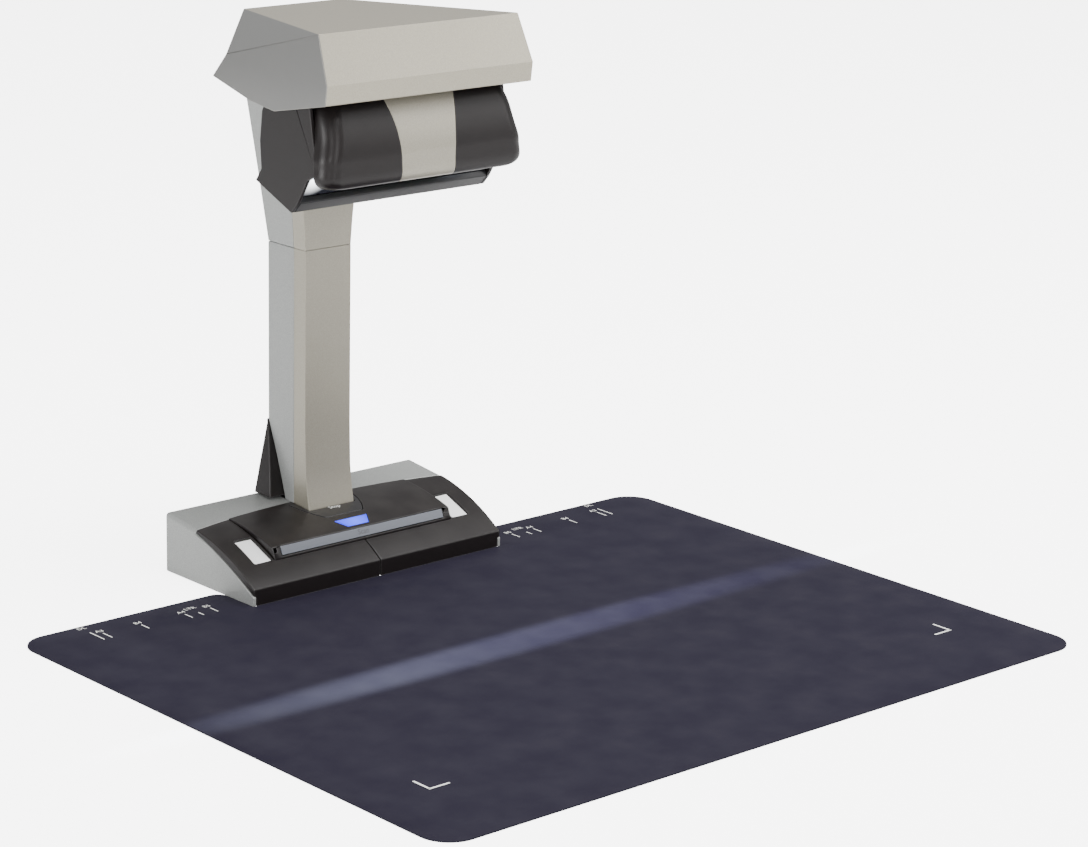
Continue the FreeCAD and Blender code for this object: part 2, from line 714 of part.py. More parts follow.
def foot_places():
    x = base_half - 22
    return [(-x, base_rear - 12), (x, base_rear - 12), (-x, -base_front + 12), (x, -base_front + 12)]


def make_feet():
    """Four rubber feet under the bottom plate."""
    body = new_body("rubber_feet")
    sketch = new_sketch(body, "XY_Plane")
    for x, y in foot_places():
        circle(sketch, x, y, foot_radius)
    pad(body, sketch, foot_height)


def make_base_screws():
    """Four screws up through the bottom plate's bosses."""
    body = new_body("base_screws")
    sketch = new_sketch(body, "XY_Plane", foot_height + 0.3)
    for x, y in screw_places():
        circle(sketch, x, y, screw_radius)
    pad(body, sketch, plate_thick + boss_height - 1)


def make_counterweight():
    """The steel block that keeps the tall scanner from tipping forward."""
    body = new_body("counterweight")
    z0 = foot_height + plate_thick
    sketch = new_sketch(body, "XY_Plane", z0)
    rectangle(sketch, -weight_half, weight_half, weight_front, post_front - 2)
    pad(body, sketch, weight_thick)
    round_edges(body, 2, lambda p, e: upright(e))


def make_column_post():
    """The steel post that carries the head, standing on the bottom plate."""
    body = new_body("column_post")
    z0 = foot_height + plate_thick
    rear = post_front + post_depth
    half = post_width / 2
    pad(body, rectangle(new_sketch(body, "XY_Plane", z0), -half, half, post_front, rear),
        post_top - z0)
    round_edges(body, 2.5, lambda p, e: upright(e))
    hollow = new_sketch(body, "XY_Plane", z0)
    rectangle(hollow, -half + post_wall, half - post_wall,
              post_front + post_wall, rear - post_wall)
    pocket(body, hollow, post_top, reverse=True)
    foot = new_sketch(body, "XY_Plane", z0)
    rectangle(foot, -half - 14, -half + 1, post_front, rear)
    rectangle(foot, half - 1, half + 14, post_front, rear)
    pad(body, foot, 3)


def loft_solid(sections):
    """A ruled solid through rectangles, each given as x0, x1, y0, y1 and z."""
    wires = []
    for x0, x1, y0, y1, z in sections:
        corners = [Vector(x0, y0, z), Vector(x1, y0, z), Vector(x1, y1, z), Vector(x0, y1, z)]
        wires.append(Part.makePolygon(corners + corners[:1]))
    return Part.makeLoft(wires, True, True)


def column_shape(inset):
    """The lower column's outside, moved inwards by inset: flared forward at its foot."""
    w = inset
    half = column_half.value - w
    front = column_front.value + w
    rear = column_rear.value - w
    foot = column_foot.value
    spread = foot_spread.value
    top = column_joint.value
    sections = [
        (-half - spread, half + spread, front - foot, rear, column_base.value),
        (-half - spread * 0.6, half + spread * 0.6, front - foot * 0.55, rear, 46),
        (-half - spread * 0.25, half + spread * 0.25, front - foot * 0.15, rear, 62),
        (-half, half, front, rear, 92),
        (-half, half, front, rear, top),
    ]
    return loft_solid(sections)


def box_between(x0, x1, y0, y1, z0, z1):
    return Part.makeBox(x1 - x0, y1 - y0, z1 - z0, Vector(x0, y0, z0))


def foot_blade(inset):
    """Side outline of the black foot behind the column, as a solid across the column."""
    w = inset
    rear = column_rear.value
    low = column_base.value
    apex = fin_height.value - w
    curve = Part.Arc(Vector(0, rear + w, apex), Vector(0, 51 + w, 62), Vector(0, 42 + w, low)).toShape()
    down = Part.makeLine(Vector(0, 42 + w, low), Vector(0, 95, low))
    side = Part.makeLine(Vector(0, 95, low), Vector(0, 95, apex))
    top = Part.makeLine(Vector(0, 95, apex), Vector(0, rear + w, apex))
    face = Part.Face(Part.Wire([curve, down, side, top]))
    return face.extrude(Vector(200, 0, 0)).translated(Vector(-100, 0, 0))


def make_column_covers():
    """Front and rear covers of the lower column, parted at the upright seams."""
    shell = column_shape(0).cut(column_shape(column_wall.value))
    shell = shell.cut(box_between(-60, 60, 0, 100, 0, column_base.value + 0.01))
    seam = column_seam.value
    gap = fit_gap.value / 2
    tall = column_joint.value - gap
    front = shell.common(box_between(-60, 60, -20, seam - gap, 0, tall))
    rear = shell.common(box_between(-60, 60, seam + gap, 100, 0, tall))
    rear = rear.cut(foot_blade(0))
    solid_feature("lower_front_cover", front)
    solid_feature("lower_rear_cover", rear)


def make_rear_foot():
    """The black foot behind the column, a hollow wedge that carries it on the base."""
    low = back_height.value + fit_gap.value
    rear = column_rear.value
    back = fin_rear.value
    top = fin_height.value
    half = fin_half.value
    outer = loft_solid([
        (-half, half, 30, back, low),
        (-column_half.value - 0.4, column_half.value + 0.4, 30, rear + 0.4, top),
    ])
    w = skin.value
    inner = loft_solid([
        (-half + w, half - w, 20, back - w, low - 0.1),
        (-column_half.value + w, column_half.value - w, 20, rear + 0.4 - w, top),
    ])
    behind = foot_blade(fit_gap.value)
    shape = outer.common(behind)
    post_room = column_half.value - w
    beside = box_between(-post_room, post_room, 0, back, 0, top)
    shape = shape.cut(inner.common(behind).common(beside))
    return shape.cut(inner.common(foot_blade(fit_gap.value + w)))


def upper_shape(inset):
    """The upper column's outside, flared to the rear and to each side."""
    w = inset
    half = column_half.value - w
    front = column_front.value + w
    rear = column_rear.value - w
    side = flare_side.value
    back = flare_rear.value
    low = column_joint.value
    rise = column_top.value - low
    shares = [0, 0.15, 0.4, 0.7, 1.0]
    sections = []
    for share in shares:
        widen = side * share ** 1.25
        lean = 2.0 * share
        sections.append((
            -half - widen, half + widen, front - lean, rear + back * share ** 0.8, low + rise * share,
        ))
    return loft_solid(sections)


def make_upper_covers():
    """Front and rear covers of the upper column, up into the head."""
    shell = upper_shape(0).cut(upper_shape(column_wall.value))
    gap = fit_gap.value / 2
    low = column_joint.value + gap
    seam = column_seam.value
    front = shell.common(box_between(-60, 60, -20, seam - gap, low, 400))
    rear = shell.common(box_between(-60, 60, seam + gap, 120, low, 400))
    solid_feature("upper_front_cover", front)
    solid_feature("upper_rear_cover", rear)


# ---------------------------------------------------------------- head cover

def beyond(a, b, c, inset, inside):
    """A large block on the far side of the plane through a, b and c, moved in by inset."""
    normal = (b - a).cross(c - a)
    normal.normalize()
    if normal.dot(inside - a) > 0:
        normal = normal * -1
    turn = FreeCAD.Rotation(Vector(0, 0, 1), normal)
    block_shape = Part.makeBox(600, 600, 200, Vector(-300, -300, 0))
    block_shape.Placement = FreeCAD.Placement(a - normal * inset, turn)
    return block_shape


def head_corner(name):
    """A corner of the head's right-hand side."""
    half = head_width.value / 2
    front, top, rear = head_front.value, head_top.value, head_rear.value
    return {
        "front_low": Vector(half, head_tuck.value - front, head_low.value),
        "crease": Vector(half, -front, head_crease.value),
        "front_top": Vector(half - top_taper.value, -head_brow.value, top),
        "top_rear": Vector(top_tail.value, rear - top_setback.value, top - top_fall.value),
        "wing_up": Vector(half - wing_taper.value, wing_reach.value, wing_bend.value),
        "tip": Vector(half, tip_reach.value, tail_low.value),
        "rear_low": Vector(tail_half.value, rear, tail_low.value),
        "keel": Vector(half, -keel_rear.value, keel_low.value),
        "keel_front": Vector(half, -keel_front.value, keel_dip.value),
    }[name]


def head_block(inset):
    """The head's faceted outside, moved inwards by inset."""
    half = head_width.value / 2 - inset
    middle = Vector(0, -20, 350)
    across = Vector(1, 0, 0)
    front_low, crease, front_top, top_rear, wing_up, tip, rear_low = (
        head_corner(name) for name in ("front_low", "crease", "front_top", "top_rear",
                                       "wing_up", "tip", "rear_low")
    )
    shape = box_between(-half, half, -120, 120, 300, 420)
    planes = [
        (front_low, crease, crease + across), (crease, front_top, front_top + across),
        (front_top, top_rear, top_rear + across), (top_rear, rear_low, rear_low + across),
    ]
    for sign in (1, -1):
        sides = [
            (crease, front_top, tip), (front_top, top_rear, wing_up), (top_rear, wing_up, rear_low),
        ]
        for corners in sides:
            planes.append([Vector(v.x * sign, v.y, v.z) for v in corners])
    for a, b, c in planes:
        shape = shape.cut(beyond(a, b, c, inset, middle))
    return shape


def wing_plate(side):
    """The wing's tip, a plate that runs on behind the head's side."""
    names = ("front_top", "wing_up", "tip", "keel", "keel_front")
    corners = [head_corner(name) for name in names]
    flat = [Vector(0, v.y, v.z) for v in corners]
    plate = Part.Face(Part.makePolygon(flat + flat[:1])).extrude(Vector(head_width.value / 2, 0, 0))
    crease, front_top, tip = (head_corner(name) for name in ("crease", "front_top", "tip"))
    middle = Vector(0, -20, 350)
    plate = plate.cut(beyond(crease, front_top, tip, 0, middle))
    wall = head_wall.value
    inner = box_between(-200, head_width.value / 2 - wall, -200, 200, 200, 500)
    inner = inner.cut(beyond(crease, front_top, tip, wall, middle))
    plate = plate.cut(inner)
    if side < 0:
        plate = plate.mirror(Vector(0, 0, 0), Vector(1, 0, 0))
    return plate


def make_head_cover():
    """The faceted silver cover over the head, open underneath."""
    outer = head_block(0)
    inner = head_block(head_wall.value)
    low = 290
    keel = [head_corner(name) for name in ("front_low", "keel_front", "keel", "tip", "rear_low")]
    corners = [Vector(-200, p.y, p.z) for p in keel]
    corners = [Vector(-200, -130, keel[0].z)] + corners + [Vector(-200, 130, keel[-1].z)]
    corners += [Vector(-200, 130, low), Vector(-200, -130, low)]
    under = Part.Face(Part.makePolygon(corners + corners[:1])).extrude(Vector(400, 0, 0))
    shape = outer.cut(inner)
    for side in (-1, 1):
        shape = shape.fuse(wing_plate(side))
    shape = shape.cut(under).removeSplitter()
    return solid_feature("head_cover", shape)


# ---------------------------------------------------------------- scanning unit

def unit_points():
    """Side outline of the scanning unit's end cap, clockwise from the top rear."""
    return [
        (-11.7, 318.2), (-9.5, 298.4), (-11.0, 280.9), (-5.1, 272.7), (-42.0, 257.5),
        (-48.1, 264.1), (-58.5, 280.8), (-67.8, 285.5), (-58.0, 340.0), (-42.0, 349.0),
        (-26.0, 342.0),
    ]


def yz_face(points, bows=None, x=0.0):
    """A face across X over a side outline; bows gives the middle point of a curved side."""
    bows = bows or {}
    where = [Vector(x, y, z) for y, z in points]
    edges = []
    for i, start in enumerate(where):
        finish = where[(i + 1) % len(where)]
        if i in bows:
            middle = Vector(x, bows[i][0], bows[i][1])
            edges.append(Part.Arc(start, middle, finish).toShape())
        else:
            edges.append(Part.makeLine(start, finish))
    return Part.Face(Part.Wire(edges))


def yz_prism(points, x0, x1, bows=None):
    """A prism along X over a side outline."""
    return yz_face(points, bows, x0).extrude(Vector(x1 - x0, 0, 0))


def x_cylinder(radius, x0, x1, y, z):
    return Part.makeCylinder(radius, x1 - x0, Vector(x0, y, z), Vector(1, 0, 0))


unit_half = unit_width.value / 2
cap_inner = unit_half - cap_thick.value
pivot = Vector(0, pivot_y.value, pivot_height.value)
look = Vector(0, -0.6, -0.8)


def pivot_bore(x0, x1, radius):
    return x_cylinder(radius, x0, x1, pivot.y, pivot.z)


def make_end_cap(label, side):
    """A flat end of the scanning unit, with the bore that its stub shaft is pressed in."""
    x0, x1 = sorted((side * cap_inner, side * unit_half))
    crown = {8: (-50.5, 347.6), 9: (-33.0, 347.6)}
    shape = yz_prism(unit_points(), x0, x1, crown)
    shape = shape.cut(pivot_bore(x0 - 1, x1 + 1, shaft_radius.value))
    solid_feature(label, shape)


def make_stub_shaft(label, side):
    """The stub shaft that carries one end of the scanning unit."""
    reach = head_width.value / 2 - head_wall.value - 0.1
    x0, x1 = sorted((side * cap_inner, side * reach))
    solid_feature(label, pivot_bore(x0, x1, shaft_radius.value))


def make_bush(label, side):
    """The plain bearing in the steel arm at one side."""
    outer = head_width.value / 2 - head_wall.value - 0.1
    x0, x1 = sorted((side * (outer - arm_thick.value - 1.2), side * outer))
    ring = pivot_bore(x0, x1, shaft_radius.value + bush_wall.value)
    ring = ring.cut(pivot_bore(x0 - 1, x1 + 1, shaft_radius.value + running_gap.value))
    solid_feature(label, ring)


def make_rear_shell():
    """The scanning unit's rear and under cover, a folded skin between the end caps."""
    w = unit_wall.value
    gap = fit_gap.value
    outer = unit_points()[:5]
    inner = [
        (-42.0 + 1.2, 257.5 + w + 0.9), (-5.1 - w - 1.6, 272.7 + 0.3), (-11.0 - w, 280.9 + 0.6),
        (-9.5 - w, 298.4), (-11.7 - w, 318.2),
    ]
    shape = yz_prism(outer + inner, -cap_inner + gap, cap_inner - gap)
    solid_feature("unit_rear_shell", shape)


def make_lower_lip():
    """The lip under the window."""
    gap = fit_gap.value
    points = [(-42.0, 257.5), (-48.1, 264.1), (-46.6, 268.0), (-40.0, 262.2), (-41.2, 260.6)]
    shift = gap * 0.5
    points = [(y - shift, z + 0.05) for y, z in points]
    solid_feature("lower_lip", yz_prism(points, -cap_inner + gap, cap_inner - gap))


def shell_block(inset, rows):
    """The bulging front of the scanning unit as a block through rows of z, y and half width."""
    back = -50.0
    turn = shell_corner.value - inset
    bend = turn * (1 - math.sqrt(0.5))
    wires = []
    for z, y, half in rows:
        front = y + inset
        side = half - inset
        wires.append(Part.Wire([
            Part.makeLine(Vector(-side, back, z), Vector(-side, front + turn, z)),
            Part.Arc(Vector(-side, front + turn, z), Vector(-side + bend, front + bend, z),
                     Vector(-side + turn, front, z)).toShape(),
            Part.makeLine(Vector(-side + turn, front, z), Vector(side - turn, front, z)),
            Part.Arc(Vector(side - turn, front, z), Vector(side - bend, front + bend, z),
                     Vector(side, front + turn, z)).toShape(),
            Part.makeLine(Vector(side, front + turn, z), Vector(side, back, z)),
            Part.makeLine(Vector(side, back, z), Vector(-side, back, z)),
        ]))
    return Part.makeLoft(wires, True, False)


def band_prism(grow):
    """Front view of the silver band: wide at the top, waisted towards the bottom."""
    wide = band_half.value + grow
    waist = band_waist.value + grow
    low, high = 270.0, 340.0
    right = Part.Arc(Vector(waist, -100, low), Vector(waist + 0.6, -100, 304), Vector(wide, -100, high - 8))
    left = Part.Arc(Vector(-wide, -100, high - 8), Vector(-waist - 0.6, -100, 304), Vector(-waist, -100, low))
    edges = [
        right.toShape(),
        Part.makeLine(Vector(wide, -100, high - 8), Vector(wide, -100, high)),
        Part.makeLine(Vector(wide, -100, high), Vector(-wide, -100, high)),
        Part.makeLine(Vector(-wide, -100, high), Vector(-wide, -100, high - 8)),
        left.toShape(),
        Part.makeLine(Vector(-waist, -100, low), Vector(waist, -100, low)),
    ]
    return Part.Face(Part.Wire(edges)).extrude(Vector(0, 90, 0))


def make_front_shell():
    """The bulging black front, with rounded ends, and the silver band let into it."""
    foot, top = shell_foot.value, shell_top.value
    narrow = [0.3, 0.9, 2.9, 4.9, 7.4, 9.6]
    rows = [(foot, -77.7, shell_half - 6.1), (foot + 1.9, -80.2, shell_half - 2.6),
            (foot + 5.3, -81.4, shell_half - 0.3)]
    fronts = [-81.5, -81.3, -80.3, -77.8, -72.7, -66.0]
    heights = [0.0, 7.0, 15.0, 25.0, 37.0, top - foot - 10.3]
    for height, front, less in zip(heights, fronts, narrow):
        rows.append((foot + 10.3 + height, front, shell_half - less))
    rows = [(z, y, number(half)) for z, y, half in rows]
    outer = shell_block(0, rows)
    below = (foot - 6, rows[0][1] + 1.5, rows[0][2])
    above = (top + 1, rows[-1][1] + 0.8, rows[-1][2])
    inner = shell_block(unit_wall.value, [below] + rows[1:-1] + [above])
    caps = [(-200, foot - 20), (-200, top + 20), (-56.5, top + 20), (-59.2, top), (-68.0, 285.6),
            (-73.0, foot - 20)]
    between = cap_inner - fit_gap.value
    behind_caps = box_between(-between, between, -90, -52, foot + 11, top)
    skin_all = outer.cut(inner).common(yz_prism(caps, -200, 200).fuse(behind_caps))
    wheel_room = gear_module.value * (gear_teeth.value / 2 + 1) + 0.8
    skin_all = skin_all.cut(pivot_bore(gear_x - 1.5, gear_x + gear_face.value + 1.5, wheel_room))
    solid_feature("unit_front_shell", skin_all.cut(band_prism(fit_gap.value / 2)))
    solid_feature("silver_band", skin_all.common(band_prism(-fit_gap.value / 2)))


def make_unit_frame():
    """The inner channel that ties the end caps together and holds the optics."""
    half = unit_frame_half
    plate = box_between(-half, half, -22, -20.5, 283, 336)
    top = box_between(-half, half, -46, -20.5, 334.5, 336)
    side_plates = [
        box_between(x0, x0 + 1.5, -46, -20.5, 300, 336) for x0 in (-half, half - 1.5)
    ]
    shape = plate.fuse(top)
    for item in side_plates:
        shape = shape.fuse(item)
    tie_bar = x_cylinder(2.0, -cap_inner + 0.1, cap_inner - 0.1, -19, 296)
    shape = shape.fuse(tie_bar)
    solid_feature("unit_frame", shape.removeSplitter())


unit_frame_half = 46.0


def make_optics():
    """Lens barrel, front lens, window, sensor board and mirror of the scanning unit."""
    radius = barrel_radius.value
    length = barrel_length.value
    start = Vector(0, -33.5, 303.5)
    barrel = Part.makeCylinder(radius, length, start, look)
    barrel = barrel.cut(Part.makeCylinder(radius - 1.5, length - 3, start + look * 3, look))
    barrel = barrel.cut(Part.makeCylinder(radius - 4, 10, start - look * 2, look))
    solid_feature("lens_barrel", barrel)
    glass = Part.makeCylinder(radius - 1.5 - running_gap.value, 4, start + look * (length - 6), look)
    solid_feature("front_lens", glass)
    across = Vector(1, 0, 0)
    board = Part.makeBox(34, 20, board_thick.value)
    turn = FreeCAD.Rotation(across, math.degrees(math.atan2(0.6, 0.8)) * -1)
    corner = turn.multVec(Vector(17, 10, 0))
    place = FreeCAD.Placement(start - look * (0.3 + board_thick.value) - corner, turn)
    board = board.transformed(place.toMatrix(), True)
    solid_feature("sensor_board", board)
    gap = fit_gap.value
    ends = (-cap_inner + gap, cap_inner - gap)
    inward = Vector(0, 0.85, 0.53)
    low = Vector(0, -47.6, 268.6)
    high = Vector(0, -57.4, 282.9)
    points = [low, high, high + inward * glass_thick.value, low + inward * glass_thick.value]
    solid_feature("window_glass", yz_prism([(v.y, v.z) for v in points], *ends))
    roof = [(-59.0, 283.5), (-74.5, 283.0), (-74.5, 285.0), (-59.0, 285.5)]
    lamps = [(-60.0, 281.6), (-72.5, 281.2), (-72.5, 282.9), (-60.0, 283.3)]
    solid_feature("lamp_board", yz_prism(roof, *ends))
    for label, side in (("left_lamp", -1), ("right_lamp", 1)):
        x0, x1 = sorted((side * (cap_inner - 0.6), side * (cap_inner - 15)))
        solid_feature(label, yz_prism(lamps, x0, x1))


def make_head_frame():
    """The folded steel frame on the post: a beam with an arm at each end, and a tongue."""
    t = frame_thick.value
    z0 = post_top.value + cap_plate.value
    reach = head_width.value / 2 - head_wall.value - 0.6
    inner = reach - arm_thick.value
    tongue_half = post_width.value / 2 + 6
    beam = box_between(-reach, reach, 0, 12, z0, z0 + t)
    tongue = box_between(-tongue_half, tongue_half, 0, post_front.value + post_depth.value, z0, z0 + t)
    shape = beam.fuse(tongue)
    radius = shaft_radius.value + bush_wall.value
    for side in (-1, 1):
        x0, x1 = sorted((side * inner, side * reach))
        arm = yz_prism([(12, z0), (12, z0 + 8), (pivot.y, pivot.z + 8), (pivot.y, pivot.z - 8),
                        (-5, pivot.z - 5)], x0, x1)
        arm = arm.fuse(pivot_bore(x0, x1, 8))
        shape = shape.fuse(arm)
    for side in (-1, 1):
        x0, x1 = sorted((side * (inner - 1), side * (reach + 1)))
        shape = shape.cut(pivot_bore(x0, x1, radius))
    for x, y in head_screw_places():
        shape = shape.cut(Part.makeCylinder(head_screw.value + 0.2, 20, Vector(x, y, z0 - 5)))
    solid_feature("head_frame", shape.removeSplitter())


def head_screw_places():
    y0 = post_front.value
    x = post_width.value / 2 + 2.5
    return [(side * x, y0 + reach) for reach in (4, post_depth.value - 4) for side in (-1, 1)]


def make_post_cap():
    """The plate on the post that the head frame is screwed to."""
    z0 = post_top.value
    y0 = post_front.value
    half = post_width.value / 2 + 6
    shape = box_between(-half, half, y0, y0 + post_depth.value, z0, z0 + cap_plate.value)
    for x, y in head_screw_places():
        shape = shape.cut(Part.makeCylinder(head_screw.value, 20, Vector(x, y, z0 - 5)))
    solid_feature("post_cap", shape)


def make_head_screws():
    """Four pan-head screws through the frame's tongue."""
    z0 = post_top.value + cap_plate.value + frame_thick.value
    screws = []
    for x, y in head_screw_places():
        shank = Part.makeCylinder(head_screw.value, cap_plate.value + frame_thick.value + 2,
                                  Vector(x, y, post_top.value - 2))
        pan = Part.makeCylinder(head_screw.value * 1.9, 1.8, Vector(x, y, z0))
        screws.append(shank.fuse(pan))
    solid_feature("head_screws", Part.makeCompound(screws))


def gear_shape(teeth, x0, x1, y, z, phase):
    """A spur gear across X: a disc to the tooth roots with a tapered tooth at each pitch."""
    module = gear_module.value
    pitch = module * teeth / 2
    root = pitch - 1.2 * module
    tip = pitch + 0.9 * module
    half_root = 0.30 * math.pi * module
    half_tip = 0.13 * math.pi * module
    shape = x_cylinder(root, x0, x1, y, z)
    points = [(-half_root, root - 0.3), (half_root, root - 0.3), (half_tip, tip), (-half_tip, tip)]
    corners = [Vector(x0, y + side, z + out) for side, out in points]
    tooth = Part.Face(Part.makePolygon(corners + corners[:1])).extrude(Vector(x1 - x0, 0, 0))
    copies = []
    for i in range(teeth):
        copy = tooth.copy()
        copy.rotate(Vector(x0, y, z), Vector(1, 0, 0), phase + 360.0 * i / teeth)
        copies.append(copy)
    return shape.fuse(copies)


gear_x = cap_inner - 6.9
mesh_angle = 45.0


def make_drive():
    """Motor, bracket, pinion and the gear on the scanning unit's right-hand shaft."""
    face = gear_face.value
    spread = gear_module.value * (gear_teeth.value + pinion_teeth.value) / 2
    lean = math.radians(mesh_angle)
    y = pivot.y + spread * math.sin(lean)
    z = pivot.z + spread * math.cos(lean)
    big = int(gear_teeth.value)
    small = int(pinion_teeth.value)
    wheel = gear_shape(big, gear_x, gear_x + face, pivot.y, pivot.z, -mesh_angle)
    wheel = wheel.fuse(pivot_bore(gear_x + face - 0.1, cap_inner, 6.0))
    wheel = wheel.cut(pivot_bore(gear_x - 1, cap_inner + 1, shaft_radius.value + running_gap.value))
    solid_feature("unit_gear", wheel)
    phase = 180.0 - mesh_angle + 180.0 / small
    pinion = gear_shape(small, gear_x - 0.5, gear_x + face + 0.5, y, z, phase)
    pinion = pinion.fuse(x_cylinder(1.5, gear_x - 6, gear_x, y, z))
    solid_feature("motor_pinion", pinion)
    plate_x = gear_x - 2.6
    can = x_cylinder(motor_radius.value, plate_x - motor_length.value, plate_x, y, z)
    can = can.cut(x_cylinder(1.5 + running_gap.value, gear_x - 6.5, gear_x, y, z))
    solid_feature("stepper_motor", can)
    foot_z = post_top.value + cap_plate.value + frame_thick.value
    bracket = yz_prism([(0, foot_z), (12, foot_z), (12, z - 5), (y + 8, z + 11), (y - 11, z + 11),
                        (y - 11, z - 9), (0, foot_z + 3)], plate_x, plate_x + 1.2)
    foot = box_between(plate_x - 12, plate_x + 1.2, 0, 12, foot_z, foot_z + 1.2)
    bracket = bracket.fuse(foot).cut(x_cylinder(4.0, plate_x - 1, plate_x + 2, y, z))
    solid_feature("motor_bracket", bracket.removeSplitter())


def make_electronics():
    """Boards and sockets in the base."""
    body = new_body("main_board")
    floor = foot_height + plate_thick
    pad(body, rectangle(new_sketch(body, "XY_Plane", board_height), 30, 98, 34, 57), board_thick)
    legs = new_sketch(body, "XY_Plane", floor)
    for x, y in ((34, 38), (94, 38), (34, 53), (80, 53)):
        circle(legs, x, y, 2)
    pad(body, legs, board_height - floor)
    chips = new_sketch(body, "XY_Plane", board_height + board_thick)
    rectangle(chips, 50, 62, 36, 44)
    rectangle(chips, 68, 84, 36, 42)
    pad(body, chips, 1.8)
    deck = board_height + board_thick
    for label, middle, half, high in (("dc_jack", jack_x, jack_half, jack_high),
                                      ("usb_socket", usb_x, usb_half, usb_high)):
        body = new_body(label)
        sketch = new_sketch(body, "XY_Plane", deck)
        rectangle(sketch, middle - half, middle + half, base_rear - 16, base_rear - 0.2)
        pad(body, sketch, high - deck)
        mouth = new_sketch(body, "XZ_Plane", -base_rear)
        centre = (deck + high) / 2
        if label == "dc_jack":
            circle(mouth, middle, centre, 2.9)
        else:
            rectangle(mouth, middle - 4.2, middle + 4.2, centre - 3.9, centre + 3.9)
        pocket(body, mouth, 9, reverse=True)
        core = new_sketch(body, "XZ_Plane", -base_rear + 9.1)
        if label == "dc_jack":
            circle(core, middle, centre, 1.0)
        else:
            rectangle(core, middle - 2.8, middle + 2.8, centre - 1.6, centre + 1.6)
        pad(body, core, 8, reverse=True)
    body = new_body("key_board")
    pad(body, rectangle(new_sketch(body, "XY_Plane", key_board_height), -34, 34, -9, 26), board_thick)
    legs = new_sketch(body, "XY_Plane", floor + weight_thick)
    for x, y in ((-30, -3), (30, -3), (-30, 22), (30, 22)):
        circle(legs, x, y, 2)
    pad(body, legs, key_board_height - floor - weight_thick)
    for label, x0, x1, y0, y1, top in (("stop_switch", -3, 3, 4.6, 10.6, 29.6),
                                       ("scan_switch", -3, 3, -9, -3, 28.0)):
        block(label, x0, x1, y0, y1, key_board_height + board_thick, top)


# ---------------------------------------------------------------- assembly

make_mat()
make_base_cover()
make_side_cover("left_front_cover", -1)
make_side_cover("right_front_cover", 1)
make_reference_sheet("left_reference_sheet", -1)
make_reference_sheet("right_reference_sheet", 1)
make_centre_panel()
make_power_lens()
make_stop_button()
make_scan_button()
make_base_plate()
make_feet()
make_base_screws()
make_counterweight()
make_electronics()
make_column_post()
make_column_covers()
solid_feature("rear_foot", make_rear_foot())
make_upper_covers()
make_post_cap()
make_head_frame()
make_head_screws()
make_head_cover()
for name, side in (("left", -1), ("right", 1)):
    make_end_cap(f"{name}_end_cap", side)
    make_stub_shaft(f"{name}_stub_shaft", side)
    make_bush(f"{name}_bush", side)
make_rear_shell()
make_lower_lip()
make_front_shell()
make_unit_frame()
make_optics()
make_drive()

doc.recompute()
for item in doc.Objects:
    if "Invalid" in item.State or "Error" in item.State:
        raise RuntimeError(f"{item.Label} is in state {item.State}")
for label, item in made.items():
    if item.Shape.isNull() or not item.Shape.isValid():
        raise RuntimeError(f"{label} has no valid shape")

os.makedirs("parts", exist_ok=True)
for label, item in made.items():
    item.Shape.exportStep(f"parts/{label}.step")
print(len(made), "sub-parts written")
for label, item in made.items():
    print(label, len(item.Shape.Solids), round(item.Shape.Volume))
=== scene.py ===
# %% [markdown]
# # An overhead document scanner
# The machine is a weighted base with a column, a wedge-shaped head and a scanning unit that tilts
# under it. It stands docked in a dark mat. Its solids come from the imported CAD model, the frame.
# Blender adds the finishes, the print on the mat and small mouldings. Every size is in metres.

# %% Load the frame
import math

import bmesh
import bpy
from mathutils import Matrix, Vector, noise


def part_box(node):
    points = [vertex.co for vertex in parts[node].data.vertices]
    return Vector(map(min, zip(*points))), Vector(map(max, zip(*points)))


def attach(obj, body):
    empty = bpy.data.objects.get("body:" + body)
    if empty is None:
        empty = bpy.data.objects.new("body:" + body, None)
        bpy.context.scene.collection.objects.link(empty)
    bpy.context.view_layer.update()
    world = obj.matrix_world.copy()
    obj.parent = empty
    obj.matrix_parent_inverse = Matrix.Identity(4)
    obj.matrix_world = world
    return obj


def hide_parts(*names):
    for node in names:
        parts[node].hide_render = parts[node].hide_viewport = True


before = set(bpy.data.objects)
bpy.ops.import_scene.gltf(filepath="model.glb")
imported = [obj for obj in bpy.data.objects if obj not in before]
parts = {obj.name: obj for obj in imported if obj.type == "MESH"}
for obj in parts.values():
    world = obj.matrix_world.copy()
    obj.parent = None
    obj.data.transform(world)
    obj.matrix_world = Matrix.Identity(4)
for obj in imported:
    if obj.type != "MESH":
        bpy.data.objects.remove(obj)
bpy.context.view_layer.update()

# %% [markdown]
# ## Camera
# A product view from the front left, a little above the table. A long lens keeps the head and the
# mat in proportion. The camera's turn is built from three angles, so that each can be read alone.

# %% Place the camera
def place_object(name, data):
    made = bpy.data.objects.new(name, data)
    bpy.context.scene.collection.objects.link(made)
    return made


def aim(azimuth, elevation, roll):
    a, e, r = (math.radians(v) for v in (azimuth, elevation, roll))
    back = Vector((math.sin(a) * math.cos(e), -math.cos(a) * math.cos(e), math.sin(e)))
    right = (-back).cross(Vector((0, 0, 1))).normalized()
    up = right.cross(-back)
    across = right * math.cos(r) + up * math.sin(r)
    upward = up * math.cos(r) - right * math.sin(r)
    return Matrix((across, upward, back)).transposed()


